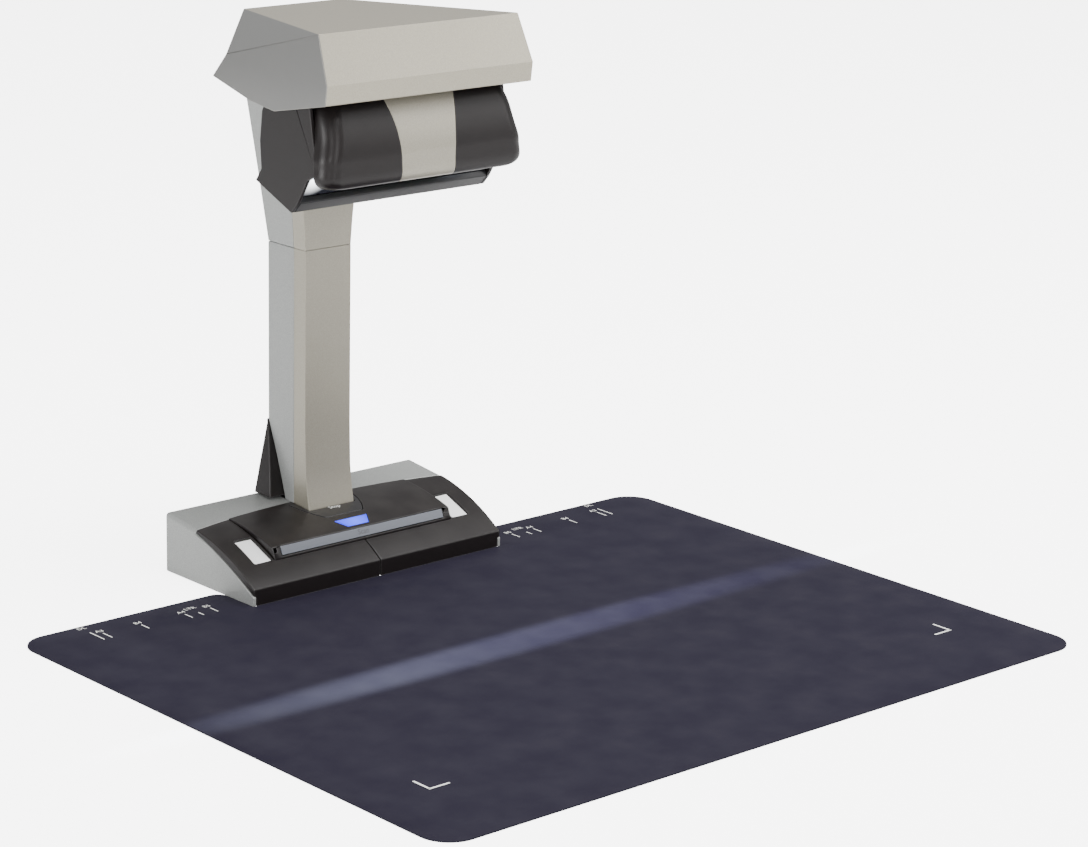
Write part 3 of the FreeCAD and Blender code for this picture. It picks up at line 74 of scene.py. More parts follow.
camera_place = (-1.3098, -1.4827, 0.6865)
camera_turn = {"azimuth": -41.97, "elevation": 15.56, "roll": 1.25}
lens = bpy.data.cameras.new("product_lens")
lens.lens = 108.79
lens.sensor_width = 36.0
lens.clip_start, lens.clip_end = 0.05, 30
camera = place_object("product_camera", lens)
camera.matrix_world = Matrix.Translation(camera_place) @ aim(**camera_turn).to_4x4()
bpy.context.scene.camera = camera
print("camera stands", round(camera.location.length, 2), "m from the origin")

# %% [markdown]
# ## Floor and air
# The machine stands on a pale floor that runs into a white studio. Light strong enough to whiten
# both would flood the dark plastics, so the floor and the air are bright to the camera alone.
# A Light Path node tells the camera's rays from all others. It stays in the material itself,
# because it says how a ray came and not what the surface is like.

# %% Helpers for meshes and brightness
def circle_points(radius, level, steps):
    angles = [2 * math.pi * i / steps for i in range(steps)]
    return [(radius * math.cos(a), radius * math.sin(a), level) for a in angles]


def finished_mesh(name, mesh):
    data = bpy.data.meshes.new(name)
    mesh.to_mesh(data)
    mesh.free()
    return data


def brighter_to_camera(tree, socket, elsewhere, to_camera):
    path = tree.nodes.new("ShaderNodeLightPath")
    level = tree.nodes.new("ShaderNodeMapRange")
    level.inputs["To Min"].default_value = elsewhere
    level.inputs["To Max"].default_value = to_camera
    tree.links.new(path.outputs["Is Camera Ray"], level.inputs["Value"])
    tree.links.new(level.outputs["Result"], socket)


# %% Lay the floor and fill the air
floor_reach = 40.0
floor_sides = 48
floor_draft = bmesh.new()
floor_rim = [floor_draft.verts.new(p) for p in circle_points(floor_reach, 0, floor_sides)]
floor_draft.faces.new(floor_rim)
studio_floor = place_object("studio_floor", finished_mesh("studio_floor", floor_draft))

paper = bpy.data.materials.new("studio_paper")
paper.use_nodes = True
paper_shader = paper.node_tree.nodes["Principled BSDF"]
paper_shader.inputs["Base Color"].default_value = (0.85, 0.85, 0.85, 1)
paper_shader.inputs["Roughness"].default_value = 0.9
paper_shader.inputs["Specular IOR Level"].default_value = 0.0
paper_shader.inputs["Emission Color"].default_value = (1, 1, 1, 1)
brighter_to_camera(paper.node_tree, paper_shader.inputs["Emission Strength"], 0.30, 5.0)
studio_floor.data.materials.append(paper)

world = bpy.data.worlds.new("studio_air")
bpy.context.scene.world = world
world.use_nodes = True
background = world.node_tree.nodes["Background"]
background.inputs["Color"].default_value = (1, 1, 1, 1)
brighter_to_camera(world.node_tree, background.inputs["Strength"], 0.5, 5.5)
print("floor reaches", floor_reach, "m, air:", world.name)

# %% [markdown]
# ## Soft boxes
# A large box above and one in front to the right model the form. A third on the left keeps the
# grey side walls open. Two narrow ones in front, one of them to the left, draw highlights on the
# black covers and along the bent edges, as strip lights do in a studio.

# %% Hang the soft boxes
def turn_to(lamp, target):
    lamp.rotation_euler = (Vector(target) - lamp.location).to_track_quat("-Z", "Y").to_euler()


def soft_box(name, place, target, width, height, watts):
    light = bpy.data.lights.new(name, "AREA")
    light.shape = "RECTANGLE"
    light.size, light.size_y = width, height
    light.energy = watts
    lamp = place_object(name, light)
    lamp.location = place
    turn_to(lamp, target)


soft_boxes = (
    ("front_box", (2.3, -1.9, 1.3), (0, 0, 0.25), 1.2, 1.2, 18),
    ("top_box", (0.5, -0.6, 2.5), (0, 0, 0), 1.8, 1.8, 128),
    ("left_box", (-2.6, 0.4, 0.6), (0, 0, 0.1), 1.2, 1.0, 36),
    ("edge_box", (-1.75, -1.55, 0.95), (0, 0, 0.3), 0.25, 0.5, 9),
    ("strip_box", (-0.45, -2.5, 0.95), (0, 0, 0.3), 0.22, 1.3, 12))
for row in soft_boxes:
    soft_box(*row)
print("soft boxes:", ", ".join(row[0] for row in soft_boxes))

# %% [markdown]
# ## The scanner's own line of light
# The lamp in the scanning unit throws a narrow bar of cool light across the mat. A spot lamp makes
# a round pool, so its object is scaled: wide across the mat and thin from front to back. It stands
# just in front of the unit's window, and shows best near the ends of the mat.

# %% Light the scan line
def box_of(node):
    return [Vector(corner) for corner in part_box(node)]


window_low, window_high = box_of("window_glass")
lamp_ahead, lamp_below = 0.012, 0.004
line_ahead = 0.135
line_lamp = bpy.data.lights.new("scan_line", "SPOT")
line_lamp.energy = 13.0
line_lamp.color = (0.72, 0.80, 1.0)
line_lamp.spot_size = math.radians(60)
line_lamp.spot_blend = 0.9
line_lamp.shadow_soft_size = 0.002
scan_line = place_object("scan_line", line_lamp)
scan_line.location = (0, window_low.y - lamp_ahead, window_low.z - lamp_below)
turn_to(scan_line, (0, window_low.y - line_ahead, 0))
scan_line.scale = (2.5, 0.12, 1.0)
print("scan line lamp at", [round(v, 3) for v in scan_line.location])

# %% [markdown]
# ## Shared surface effects
# Most outside pieces are injection-moulded plastic, some of them lacquered. The tool that moulds
# them is spark-eroded, so they carry a fine even grain, and large faces have slow changes of gloss.
# Each effect is a node group, so that one change reaches every finish that uses it. The helpers
# below keep the groups short: each makes one node, or one small sum, and hands back its output.

# %% Helpers for node trees
FLOAT = "NodeSocketFloat"


def new_group(name, inputs, outputs):
    group = bpy.data.node_groups.new(name, "ShaderNodeTree")
    for label, value in inputs:
        group.interface.new_socket(label, in_out="INPUT", socket_type=FLOAT).default_value = value
    for label in outputs:
        group.interface.new_socket(label, in_out="OUTPUT", socket_type=FLOAT)
    return group, group.nodes.new("NodeGroupInput"), group.nodes.new("NodeGroupOutput")


def put(tree, kind, **settings):
    node = tree.nodes.new(kind)
    for key, value in settings.items():
        setattr(node, key, value)
    return node


def feed(tree, socket, value):
    if isinstance(value, bpy.types.NodeSocket):
        tree.links.new(value, socket)
    else:
        socket.default_value = value


def calc(tree, operation, a, b=0.0, clamp=False):
    node = put(tree, "ShaderNodeMath", operation=operation, use_clamp=clamp)
    feed(tree, node.inputs[0], a)
    feed(tree, node.inputs[1], b)
    return node.outputs[0]


def weigh(tree, first, first_share, second, second_share):
    return calc(tree, "ADD", calc(tree, "MULTIPLY", first, first_share),
                calc(tree, "MULTIPLY", second, second_share))


def climb(tree, value, start, gain):
    return calc(tree, "MULTIPLY", calc(tree, "SUBTRACT", value, start), gain, clamp=True)


# %% Helpers for coordinates and noise
def object_coords(tree):
    return put(tree, "ShaderNodeTexCoord").outputs["Object"]


def axis_of(tree, vector, axis):
    split = put(tree, "ShaderNodeSeparateXYZ")
    tree.links.new(vector, split.inputs[0])
    return split.outputs[axis]


def distance_from(tree, place):
    away = put(tree, "ShaderNodeVectorMath", operation="DISTANCE")
    tree.links.new(object_coords(tree), away.inputs[0])
    away.inputs[1].default_value = place
    return away.outputs["Value"]


def noise_field(tree, coords, scale, detail=2.0, roughness=0.5):
    node = put(tree, "ShaderNodeTexNoise")
    node.inputs["Detail"].default_value = detail
    node.inputs["Roughness"].default_value = roughness
    tree.links.new(coords, node.inputs["Vector"])
    feed(tree, node.inputs["Scale"], scale)
    return node.outputs["Fac"]


# %% [markdown]
# ### Moulded grain
# Two sizes of noise added together read as spark-eroded grain. A third, slow one moves the gloss.

# %% Group: moulded grain
def build_grain():
    group, given, out = new_group(
        "moulded_grain", [("Grain Scale", 2200.0)], ["Height", "Tone", "Gloss"])
    coords = object_coords(group)
    fine = noise_field(group, coords, given.outputs["Grain Scale"], detail=3.0, roughness=0.6)
    slow = noise_field(group, coords, scale=14.0, detail=3.0)
    middle = noise_field(group, coords, scale=90.0, detail=4.0)
    group.links.new(fine, out.inputs["Height"])
    group.links.new(weigh(group, fine, 0.6, middle, 0.4), out.inputs["Tone"])
    group.links.new(weigh(group, slow, 0.7, middle, 0.3), out.inputs["Gloss"])
    return group


grain_group = build_grain()
print("group:", grain_group.name)

# %% [markdown]
# ### Edge highlights and dust
# A painted highlight lightens the edges of a cover, and dust settles on what looks up. The edge
# mask compares the true normal with one rounded over a millimetre or so: they differ only near an
# edge.
# The dust mask keeps what faces up, and a noise breaks it into patches.

# %% Group: edge highlight and dust masks
def build_highlight_and_dust():
    group, given, out = new_group("edge_highlight_and_dust", [("Edge Width", 0.0013)], ["Edge", "Dust"])
    round_over = put(group, "ShaderNodeBevel", samples=4)
    group.links.new(given.outputs["Edge Width"], round_over.inputs["Radius"])
    shape = put(group, "ShaderNodeNewGeometry")
    match = put(group, "ShaderNodeVectorMath", operation="DOT_PRODUCT")
    group.links.new(round_over.outputs["Normal"], match.inputs[0])
    group.links.new(shape.outputs["Normal"], match.inputs[1])
    differ = calc(group, "SUBTRACT", 1.0, match.outputs["Value"])
    edge = calc(group, "MULTIPLY", differ, 9.0, clamp=True)
    patch = noise_field(group, object_coords(group), scale=40.0, detail=4.0)
    upward = climb(group, axis_of(group, shape.outputs["Normal"], "Z"), start=0.75, gain=4.0)
    settled = climb(group, patch, start=0.35, gain=2.0)
    # The Edge output marks where a painted highlight goes along the edges.
    group.links.new(calc(group, "MULTIPLY", edge, patch), out.inputs["Edge"])
    group.links.new(calc(group, "MULTIPLY", upward, settled), out.inputs["Dust"])
    return group


highlight_and_dust_group = build_highlight_and_dust()
print("group:", highlight_and_dust_group.name)

# %% [markdown]
# ### Lacquer flakes
# The silver covers are plastic sprayed with a lacquer that holds aluminium flakes. Each flake lies
# at its own small angle, so cells of a Voronoi pattern give small changes of tone.

# %% Group: lacquer flakes
def build_flakes():
    group, given, out = new_group("lacquer_flakes", [("Flake Scale", 4200.0)], ["Flake", "Height"])
    coords = object_coords(group)
    cells = put(group, "ShaderNodeTexVoronoi", feature="F1")
    group.links.new(coords, cells.inputs["Vector"])
    group.links.new(given.outputs["Flake Scale"], cells.inputs["Scale"])
    split = put(group, "ShaderNodeSeparateColor")
    group.links.new(cells.outputs["Color"], split.inputs[0])
    group.links.new(split.outputs[0], out.inputs["Flake"])
    group.links.new(noise_field(group, coords, scale=900.0), out.inputs["Height"])
    return group


flake_group = build_flakes()
print("group:", flake_group.name)

# %% [markdown]
# ### Brushed lines
# Sheet steel and the scan bar show fine parallel lines. Noise squeezed along one axis draws them.

# %% Group: brushed lines
def build_brushed():
    group, given, out = new_group("brushed_lines", [("Line Scale", 900.0)], ["Lines"])
    squeeze = put(group, "ShaderNodeMapping", vector_type="POINT")
    squeeze.inputs["Scale"].default_value = (0.02, 1.0, 1.0)
    group.links.new(object_coords(group), squeeze.inputs["Vector"])
    lines = noise_field(group, squeeze.outputs["Vector"], given.outputs["Line Scale"],
                        detail=4.0, roughness=0.65)
    group.links.new(lines, out.inputs["Lines"])
    return group


brushed_group = build_brushed()
print("group:", brushed_group.name)

# %% [markdown]
# ### Woven cloth
# The mat's face is a fine plain weave. Two crossed sets of ridges, over and under by turns, give
# its height, and a slower noise gives the uneven nap that catches the light.

# %% Group: plain weave
def build_weave():
    group, given, out = new_group("plain_weave", [("Thread", 0.0007)], ["Height", "Nap"])
    coords = object_coords(group)
    turns = calc(group, "DIVIDE", math.pi, given.outputs["Thread"])
    across, along = (
        calc(group, "SINE", calc(group, "MULTIPLY", axis_of(group, coords, axis), turns))
        for axis in ("X", "Y"))
    lift = calc(group, "ABSOLUTE", calc(group, "MULTIPLY", across, along))
    fibre = noise_field(group, coords, scale=2600.0, detail=3.0, roughness=0.7)
    nap = noise_field(group, coords, scale=9.0, detail=5.0, roughness=0.6)
    group.links.new(weigh(group, lift, 0.7, fibre, 0.5), out.inputs["Height"])
    group.links.new(nap, out.inputs["Nap"])
    return group


weave_group = build_weave()
print("group:", weave_group.name)

# %% [markdown]
# ## Finishes
# A finish is one Principled shader with its groups. Constant values such as sheen or coat stay on
# the shader's own sockets. Colours are given as a person would read them from a paint card, in
# display values from 0 to 255, and turned into the linear values that the shader wants.

# %% Helpers for finishes
def paint_card(red, green, blue):
    linear = []
    for value in (red, green, blue):
        share = value / 255
        linear.append(share / 12.92 if share <= 0.04045 else ((share + 0.055) / 1.055) ** 2.4)
    return (*linear, 1.0)


def tint(colour, gain, lift=0.0):
    return (*(min(1.0, v * gain + lift) for v in colour[:3]), 1)


def new_finish(name, **constants):
    made = bpy.data.materials.new(name)
    made.use_nodes = True
    tree = made.node_tree
    shader = tree.nodes["Principled BSDF"]
    for label, value in constants.items():
        shader.inputs[label.replace("_", " ")].default_value = value
    return made, tree, shader


def use_group(tree, group, **values):
    node = put(tree, "ShaderNodeGroup", node_tree=group)
    for label, value in values.items():
        node.inputs[label.replace("_", " ")].default_value = value
    return node.outputs


def blend_colour(tree, share, first, second):
    node = put(tree, "ShaderNodeMix", data_type="RGBA")
    for label, value in (("Factor", share), ("A", first), ("B", second)):
        feed(tree, node.inputs[label], value)
    return node.outputs["Result"]


def span(tree, value, low, high):
    node = put(tree, "ShaderNodeMapRange")
    tree.links.new(value, node.inputs["Value"])
    node.inputs["To Min"].default_value = low
    node.inputs["To Max"].default_value = high
    return node.outputs["Result"]


def raise_surface(tree, shader, height, strength, distance):
    bump = put(tree, "ShaderNodeBump")
    bump.inputs["Strength"].default_value = strength
    bump.inputs["Distance"].default_value = distance
    tree.links.new(height, bump.inputs["Height"])
    tree.links.new(bump.outputs["Normal"], shader.inputs["Normal"])


print("a mid grey card:", [round(v, 3) for v in paint_card(128, 128, 128)[:3]])

# %% [markdown]
# ### Moulded plastics
# One recipe covers the black, grey and white plastics, and the painted iron. Grain gives height,
# its tone shifts the colour a little, the slow noise moves the gloss, and a painted highlight
# along the edges and dust lighten dark pieces.

# %% Finish: moulded plastics
def moulded(name, colour, rough, grain=2200.0, depth=0.25, edge=0.25, dust=0.05, **constants):
    made, tree, shader = new_finish(name, **constants)
    texture = use_group(tree, grain_group, Grain_Scale=grain)
    masks = use_group(tree, highlight_and_dust_group)
    body = blend_colour(tree, texture["Tone"], tint(colour, 0.88), tint(colour, 1.12, 0.002))
    # Painted highlight: the colour is lightened along the edges, as much as edge says.
    edge_highlight_share = calc(tree, "MULTIPLY", masks["Edge"], edge)
    highlighted = blend_colour(tree, edge_highlight_share, body, tint(colour, 1.6, 0.09))
    settled = calc(tree, "MULTIPLY", masks["Dust"], dust)
    dusty = blend_colour(tree, settled, highlighted, paint_card(168, 164, 158))
    tree.links.new(dusty, shader.inputs["Base Color"])
    gloss = span(tree, texture["Gloss"], rough - 0.06, rough + 0.06)
    tree.links.new(gloss, shader.inputs["Roughness"])
    raise_surface(tree, shader, texture["Height"], depth, 0.00006)
    return made


# The edge value sets how strong the painted highlight along the edges is.
black_cover = moulded("black_cover", paint_card(20, 15, 15), 0.36, edge=0.7,
                      Specular_IOR_Level=0.34)
black_key = moulded("black_key", paint_card(26, 25, 27), 0.30, depth=0.12,
                    Specular_IOR_Level=0.4)
socket_black = moulded("socket_black", paint_card(26, 26, 27), 0.45)
white_sheet = moulded("white_sheet", paint_card(254, 254, 252), 0.55, grain=900.0, depth=0.1,
                      dust=0.0)
rubber = moulded("foot_rubber", paint_card(40, 39, 38), 0.72, grain=1400.0, depth=0.5)
gear_nylon = moulded("gear_nylon", paint_card(226, 222, 206), 0.42,
                     Subsurface_Weight=0.1, Subsurface_Scale=0.002)
iron = moulded("ballast_iron", paint_card(92, 93, 96), 0.55, grain=700.0, depth=0.6, Metallic=0.6)
print("moulded:", [m.name for m in (
    black_cover, black_key, socket_black, white_sheet, rubber, gear_nylon, iron)])

# %% [markdown]
# ### Silver lacquers
# The head, the column and the base share one spraying line but not one colour: the faces that look
# forward are a warm silver and the rear ones a cooler grey. The head's flanks are greyer than its
# front, so that finish fades to a second colour as the normal turns to the side. Flakes shift the
# tone, and a thin coat of clear lacquer lies over them.

# %% Finish: silver lacquers
def lacquer(name, colour, rough, metallic, flake_share=0.3, side_colour=None):
    made, tree, shader = new_finish(
        name, Metallic=metallic, Coat_Weight=0.25, Coat_Roughness=0.22)
    flakes = use_group(tree, flake_group)
    grain = use_group(tree, grain_group, Grain_Scale=1500.0)
    masks = use_group(tree, highlight_and_dust_group, Edge_Width=0.0012)
    body = blend_colour(tree, flakes["Flake"], tint(colour, 1 - flake_share * 0.5),
                        tint(colour, 1 + flake_share * 0.4))
    if side_colour:
        normal = put(tree, "ShaderNodeNewGeometry").outputs["Normal"]
        sideways = calc(tree, "ABSOLUTE", axis_of(tree, normal, "X"))
        body = blend_colour(tree, climb(tree, sideways, start=0.22, gain=12.0), body, side_colour)
    # Painted highlight: the colour is lightened along the edges.
    edge_highlight_share = calc(tree, "MULTIPLY", masks["Edge"], 0.5)
    highlighted = blend_colour(tree, edge_highlight_share, body, tint(colour, 1.5, 0.06))
    tree.links.new(highlighted, shader.inputs["Base Color"])
    gloss = span(tree, grain["Gloss"], rough - 0.05, rough + 0.05)
    tree.links.new(gloss, shader.inputs["Roughness"])
    raise_surface(tree, shader, flakes["Height"], 0.10, 0.00005)
    return made


warm_silver = lacquer("warm_silver", paint_card(158, 153, 139), 0.38, 0.40)
cool_grey = lacquer("cool_grey", paint_card(152, 154, 152), 0.45, 0.20, flake_share=0.45)
head_silver = lacquer("head_silver", paint_card(166, 160, 144), 0.32, 0.5,
                      side_colour=paint_card(124, 124, 122))
print("lacquers:", [m.name for m in (warm_silver, cool_grey, head_silver)])

# %% [markdown]
# ### Metals
# The frame, plates and screws are zinc-plated or brushed steel, and the bushes and pinion are
# bronze. Brushed lines move the colour and the roughness together, as real scratches do.

# %% Finish: metals
def metal(name, colour, rough, lines=900.0, contrast=0.16):
    made, tree, shader = new_finish(name, Metallic=1.0)
    brushed = use_group(tree, brushed_group, Line_Scale=lines)["Lines"]
    # Painted highlight: the colour is lightened along the edges.
    edge_highlight_share = calc(tree, "MULTIPLY", use_group(tree, highlight_and_dust_group)["Edge"], 0.6)
    body = blend_colour(tree, brushed, tint(colour, 0.85), colour)
    tree.links.new(blend_colour(tree, edge_highlight_share, body, tint(colour, 1.3)), shader.inputs["Base Color"])
    gloss = span(tree, brushed, rough - contrast / 2, rough + contrast / 2)
    tree.links.new(gloss, shader.inputs["Roughness"])
    raise_surface(tree, shader, brushed, 0.2, 0.00003)
    return made


zinc_steel = metal("zinc_steel", paint_card(190, 192, 196), 0.34)
screw_steel = metal("screw_steel", paint_card(170, 171, 174), 0.28, lines=2400.0)
motor_steel = metal("motor_steel", paint_card(176, 177, 180), 0.30)
bronze = metal("bush_bronze", paint_card(190, 146, 92), 0.38)
bar_silver = metal("bar_silver", paint_card(118, 121, 128), 0.40, lines=1500.0, contrast=0.10)
print("metals:", [m.name for m in (zinc_steel, screw_steel, motor_steel, bronze, bar_silver)])

# %% [markdown]
# ### Circuit board
# Solder mask is a thin glossy lacquer over copper tracks. A brick pattern stands for the tracks,
# which is enough for boards that sit inside the covers.

# %% Finish: circuit board
def board_finish():
    made, tree, shader = new_finish("solder_mask", Coat_Weight=0.5, Coat_Roughness=0.15)
    tracks = put(tree, "ShaderNodeTexBrick")
    tracks.inputs["Scale"].default_value = 260.0
    tracks.inputs["Mortar Size"].default_value = 0.08
    tree.links.new(object_coords(tree), tracks.inputs["Vector"])
    green = blend_colour(tree, tracks.outputs["Fac"],
                         paint_card(18, 84, 44), paint_card(34, 118, 66))
    tree.links.new(green, shader.inputs["Base Color"])
    gloss = span(tree, use_group(tree, grain_group, Grain_Scale=600.0)["Gloss"], 0.25, 0.4)
    tree.links.new(gloss, shader.inputs["Roughness"])
    return made


solder_mask = board_finish()
print("finish:", solder_mask.name)

# %% [markdown]
# ### Glass
# Glass keeps a plain transmission weight on the shader itself. The long window is lit from inside
# at its left end, where the lamp sits close behind it: the glow falls off with the distance from
# that corner, so it needs no lamp of its own.

# %% Finish: glass
def glass_finish(name, colour, rough, weight, lit_end=None, glow_reach=0.017):
    made, tree, shader = new_finish(name, Transmission_Weight=weight, IOR=1.5, Coat_Weight=0.3)
    grain = use_group(tree, grain_group, Grain_Scale=300.0)
    tree.links.new(span(tree, grain["Gloss"], rough, rough + 0.04), shader.inputs["Roughness"])
    body = blend_colour(tree, grain["Tone"], colour, tint(colour, 0.96))
    tree.links.new(body, shader.inputs["Base Color"])
    if lit_end:
        share = calc(tree, "DIVIDE", distance_from(tree, lit_end), glow_reach)
        fade = calc(tree, "POWER", calc(tree, "SUBTRACT", 1.0, share, clamp=True), 1.6)
        glow = blend_colour(tree, fade, (0, 0, 0, 1), (0.95, 0.98, 1, 1))
        tree.links.new(glow, shader.inputs["Emission Color"])
        shader.inputs["Emission Strength"].default_value = 9.0
    return made


lamp_end = (window_low.x + 0.006, window_low.y + 0.002, window_high.z - 0.001)
window = glass_finish("window_glass_clear", paint_card(52, 54, 62), 0.04, 0.35, lit_end=lamp_end)
lens_coat = glass_finish("lens_coated", paint_card(120, 110, 170), 0.02, 0.6)
print("window lit at", [round(v, 4) for v in lamp_end])

# %% [markdown]
# ### Lamps
# The lens over the status light glows brighter and paler in its middle than at its rim. The
# scanning lamps use the same recipe with a wider and whiter glow.

# %% Finish: lamps
def glow_finish(name, colour, edge_colour, strength, middle, radius):
    made, tree, shader = new_finish(
        name, Roughness=0.3, Coat_Weight=0.6, Emission_Strength=strength)
    share = calc(tree, "DIVIDE", distance_from(tree, middle), radius, clamp=True)
    glow = blend_colour(tree, share, colour, edge_colour)
    tree.links.new(glow, shader.inputs["Base Color"])
    tree.links.new(glow, shader.inputs["Emission Color"])
    return made


lens_low, lens_high = box_of("power_lens")
lens_middle = (lens_low + lens_high) / 2
status_blue = glow_finish("status_blue", paint_card(70, 92, 255), paint_card(20, 26, 220), 1.6,
                          lens_middle, 0.016)
lamp_white = glow_finish("lamp_white", paint_card(255, 255, 255), paint_card(214, 228, 255), 4.0,
                         (0, 0, 0.28), 0.2)
print("status lens middle:", [round(v, 4) for v in lens_middle])

# %% [markdown]
# ## Dress the CAD pieces
# The CAD edges are perfectly sharp, and no moulded edge is. A weld joins the imported triangles, a
# small bevel rounds the edges and weighted normals keep the large faces flat. The bevel isn't
# clamped: imported faces hold many short edges, and clamping to those would shrink every rounding
# to nothing. Rounding is kept to what each piece bears, and the shell, whose curves are already
# round, the boards and the glass take none.

# %% Soften and dress
def soften(piece, width, sharper_than=28):
    weld = piece.modifiers.new("join_triangles", "WELD")
    weld.merge_threshold = 0.000002
    bevel = piece.modifiers.new("moulded_edge", "BEVEL")
    bevel.width = width
    bevel.segments = 3
    bevel.limit_method = "ANGLE"
    bevel.angle_limit = math.radians(sharper_than)
    bevel.miter_outer = "MITER_ARC"
    bevel.harden_normals = False
    bevel.use_clamp_overlap = False
    shade = piece.modifiers.new("flat_faces", "WEIGHTED_NORMAL")
    shade.keep_sharp = False
    shade.weight = 90


def dress(names, finish, width=0.0):
    for name in names.split():
        piece = parts[name]
        piece.data.materials.clear()
        piece.data.materials.append(finish)
        if width:
            soften(piece, width)


# %% Dress the outside
dress("base_cover lower_rear_cover upper_rear_cover", cool_grey, 0.0006)
dress("lower_front_cover upper_front_cover silver_band", warm_silver, 0.0004)
dress("head_cover", head_silver, 0.0006)
dress("left_front_cover right_front_cover centre_panel rear_foot", black_cover, 0.0008)
dress("left_end_cap right_end_cap unit_rear_shell", black_cover, 0.0004)
dress("unit_front_shell", black_cover)
dress("lower_lip stop_button", black_key, 0.0006)
dress("scan_button", bar_silver, 0.0003)
dress("left_reference_sheet right_reference_sheet", white_sheet, 0.00008)
dress("power_lens", status_blue, 0.0003)
dress("rubber_feet", rubber, 0.0003)
dress("base_screws head_screws", screw_steel, 0.0001)
dress("window_glass", window)
print("outside dressed, head rounding:",
      round(parts["head_cover"].modifiers["moulded_edge"].width, 5), "m")

# %% Dress the inside
dress("base_plate column_post post_cap head_frame unit_frame motor_bracket usb_socket",
      zinc_steel, 0.0002)
dress("left_stub_shaft right_stub_shaft", screw_steel, 0.0002)
dress("counterweight", iron, 0.0006)
dress("main_board key_board sensor_board lamp_board", solder_mask)
dress("dc_jack stop_switch scan_switch lens_barrel", socket_black, 0.0002)
dress("left_bush right_bush motor_pinion", bronze)
dress("unit_gear", gear_nylon)
dress("stepper_motor", motor_steel, 0.0003)
dress("front_lens", lens_coat)
dress("left_lamp right_lamp", lamp_white, 0.0002)
print("pieces with a bevel:", sum("moulded_edge" in piece.modifiers for piece in parts.values()))

# %% [markdown]
# ## The mat
# The mat is a thin cloth-faced rubber sheet that lies flat on the table and is cut to fit round the
# base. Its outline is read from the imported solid, so it always matches the base: the rim of the
# top face is every edge that has the top on one side only, and those edges are walked in turn.

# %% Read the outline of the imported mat
same_point = 0.00001


def top_outline(piece):
    mesh = bmesh.new()
    mesh.from_mesh(piece.data)
    bmesh.ops.remove_doubles(mesh, verts=mesh.verts, dist=same_point)
    level = max(v.co.z for v in mesh.verts)

    def on_top(face):
        return face.normal.z > 0.9 and all(abs(v.co.z - level) < same_point for v in face.verts)

    neighbours = {}
    for edge in mesh.edges:
        if sum(on_top(face) for face in edge.link_faces) == 1:
            a, b = (v.co.copy().freeze() for v in edge.verts)
            neighbours.setdefault(a, []).append(b)
            neighbours.setdefault(b, []).append(a)
    mesh.free()
    start = next(iter(neighbours))
    loop, last, here = [start], None, start
    while True:
        ahead = [p for p in neighbours[here] if p != last]
        last, here = here, ahead[0]
        if here == start:
            return loop
        loop.append(here)


def signed_area(rim):
    return sum(a.x * b.y - b.x * a.y for a, b in zip(rim, rim[1:] + rim[:1])) / 2


mat_rim = top_outline(parts["background_mat"])
mat_low, mat_high = box_of("background_mat")
mat_thick = mat_high.z - mat_low.z

# %% [markdown]
# ### Finish of the mat
# Dark blue-black cloth with a soft sheen at flat angles. The weave is too fine to see from a
# distance, but it breaks up the reflections of the lamps.

# %% Finish: mat cloth
def cloth_finish():
    made, tree, shader = new_finish(
        "mat_cloth", Sheen_Weight=0.04, Sheen_Roughness=0.4, Specular_IOR_Level=0.10)
    shader.inputs["Sheen Tint"].default_value = paint_card(150, 146, 190)
    weave = use_group(tree, weave_group)
    settled = calc(tree, "MULTIPLY", use_group(tree, highlight_and_dust_group)["Dust"], 0.03)
    body = blend_colour(tree, weave["Height"], paint_card(24, 21, 33), paint_card(31, 28, 42))
    dusty = blend_colour(tree, settled, body, paint_card(150, 148, 150))
    tree.links.new(dusty, shader.inputs["Base Color"])
    tree.links.new(span(tree, weave["Nap"], 0.56, 0.62), shader.inputs["Roughness"])
    raise_surface(tree, shader, weave["Height"], 0.14, 0.00006)
    return made


mat_cloth = cloth_finish()
print("finish:", mat_cloth.name)

# %% [markdown]
# ### Shape of the mat
# One face fills the rim and is cut into small squares, so that it can lie a few hundredths of a
# millimetre unevenly, as rubber does. A Solidify modifier gives it the rubber's thickness, from
# the top face down, and a small bevel rolls the cut rim.

# %% Build the mat
def cut_squares(mesh, step):
    for axis in (0, 1):
        low, high = mat_low[axis], mat_high[axis]
        count = int((high - low) / step)
        for i in range(1, count):
            place, normal = Vector((0, 0, 0)), Vector((0, 0, 0))
            place[axis] = low + (high - low) * i / count
            normal[axis] = 1
            bmesh.ops.bisect_plane(mesh, geom=mesh.verts[:] + mesh.edges[:] + mesh.faces[:],
                                   plane_co=place, plane_no=normal)


def build_mat(square=0.0175, wave_scale=9, wave_height=0.0001):
    mesh = bmesh.new()
    face = mesh.faces.new([mesh.verts.new((p.x, p.y, mat_high.z)) for p in mat_rim])
    if signed_area(mat_rim) < 0:
        face.normal_flip()
    cut_squares(mesh, square)
    for vert in mesh.verts:
        if not vert.is_boundary:
            vert.co.z += (noise.noise(vert.co * wave_scale) - 0.5) * wave_height
    return finished_mesh("background_mat_cloth", mesh)


mat = place_object("mat_cloth_face", build_mat())
mat.data.materials.append(mat_cloth)
for polygon in mat.data.polygons:
    polygon.use_smooth = True
backing = mat.modifiers.new("rubber_backing", "SOLIDIFY")
backing.thickness = mat_thick - 0.00005
backing.offset = -1
rolled = mat.modifiers.new("rolled_rim", "BEVEL")
rolled.width = 0.0003
rolled.segments = 2
rolled.limit_method = "ANGLE"
rolled.angle_limit = math.radians(50)
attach(mat, "stand")
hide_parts("background_mat")
print("mat polygons:", len(mat.data.polygons))

# %% [markdown]
# ### Print on the mat
# White ink marks show where each paper size goes: a short line on each side of the base with a
# label behind it, and an angle at each front corner of the largest sheet. Ink is a film, so each
# mark is a thin face just above the cloth. Drawing them as mesh keeps their edges sharp from any
# distance, which a noise texture or a mask could not do.

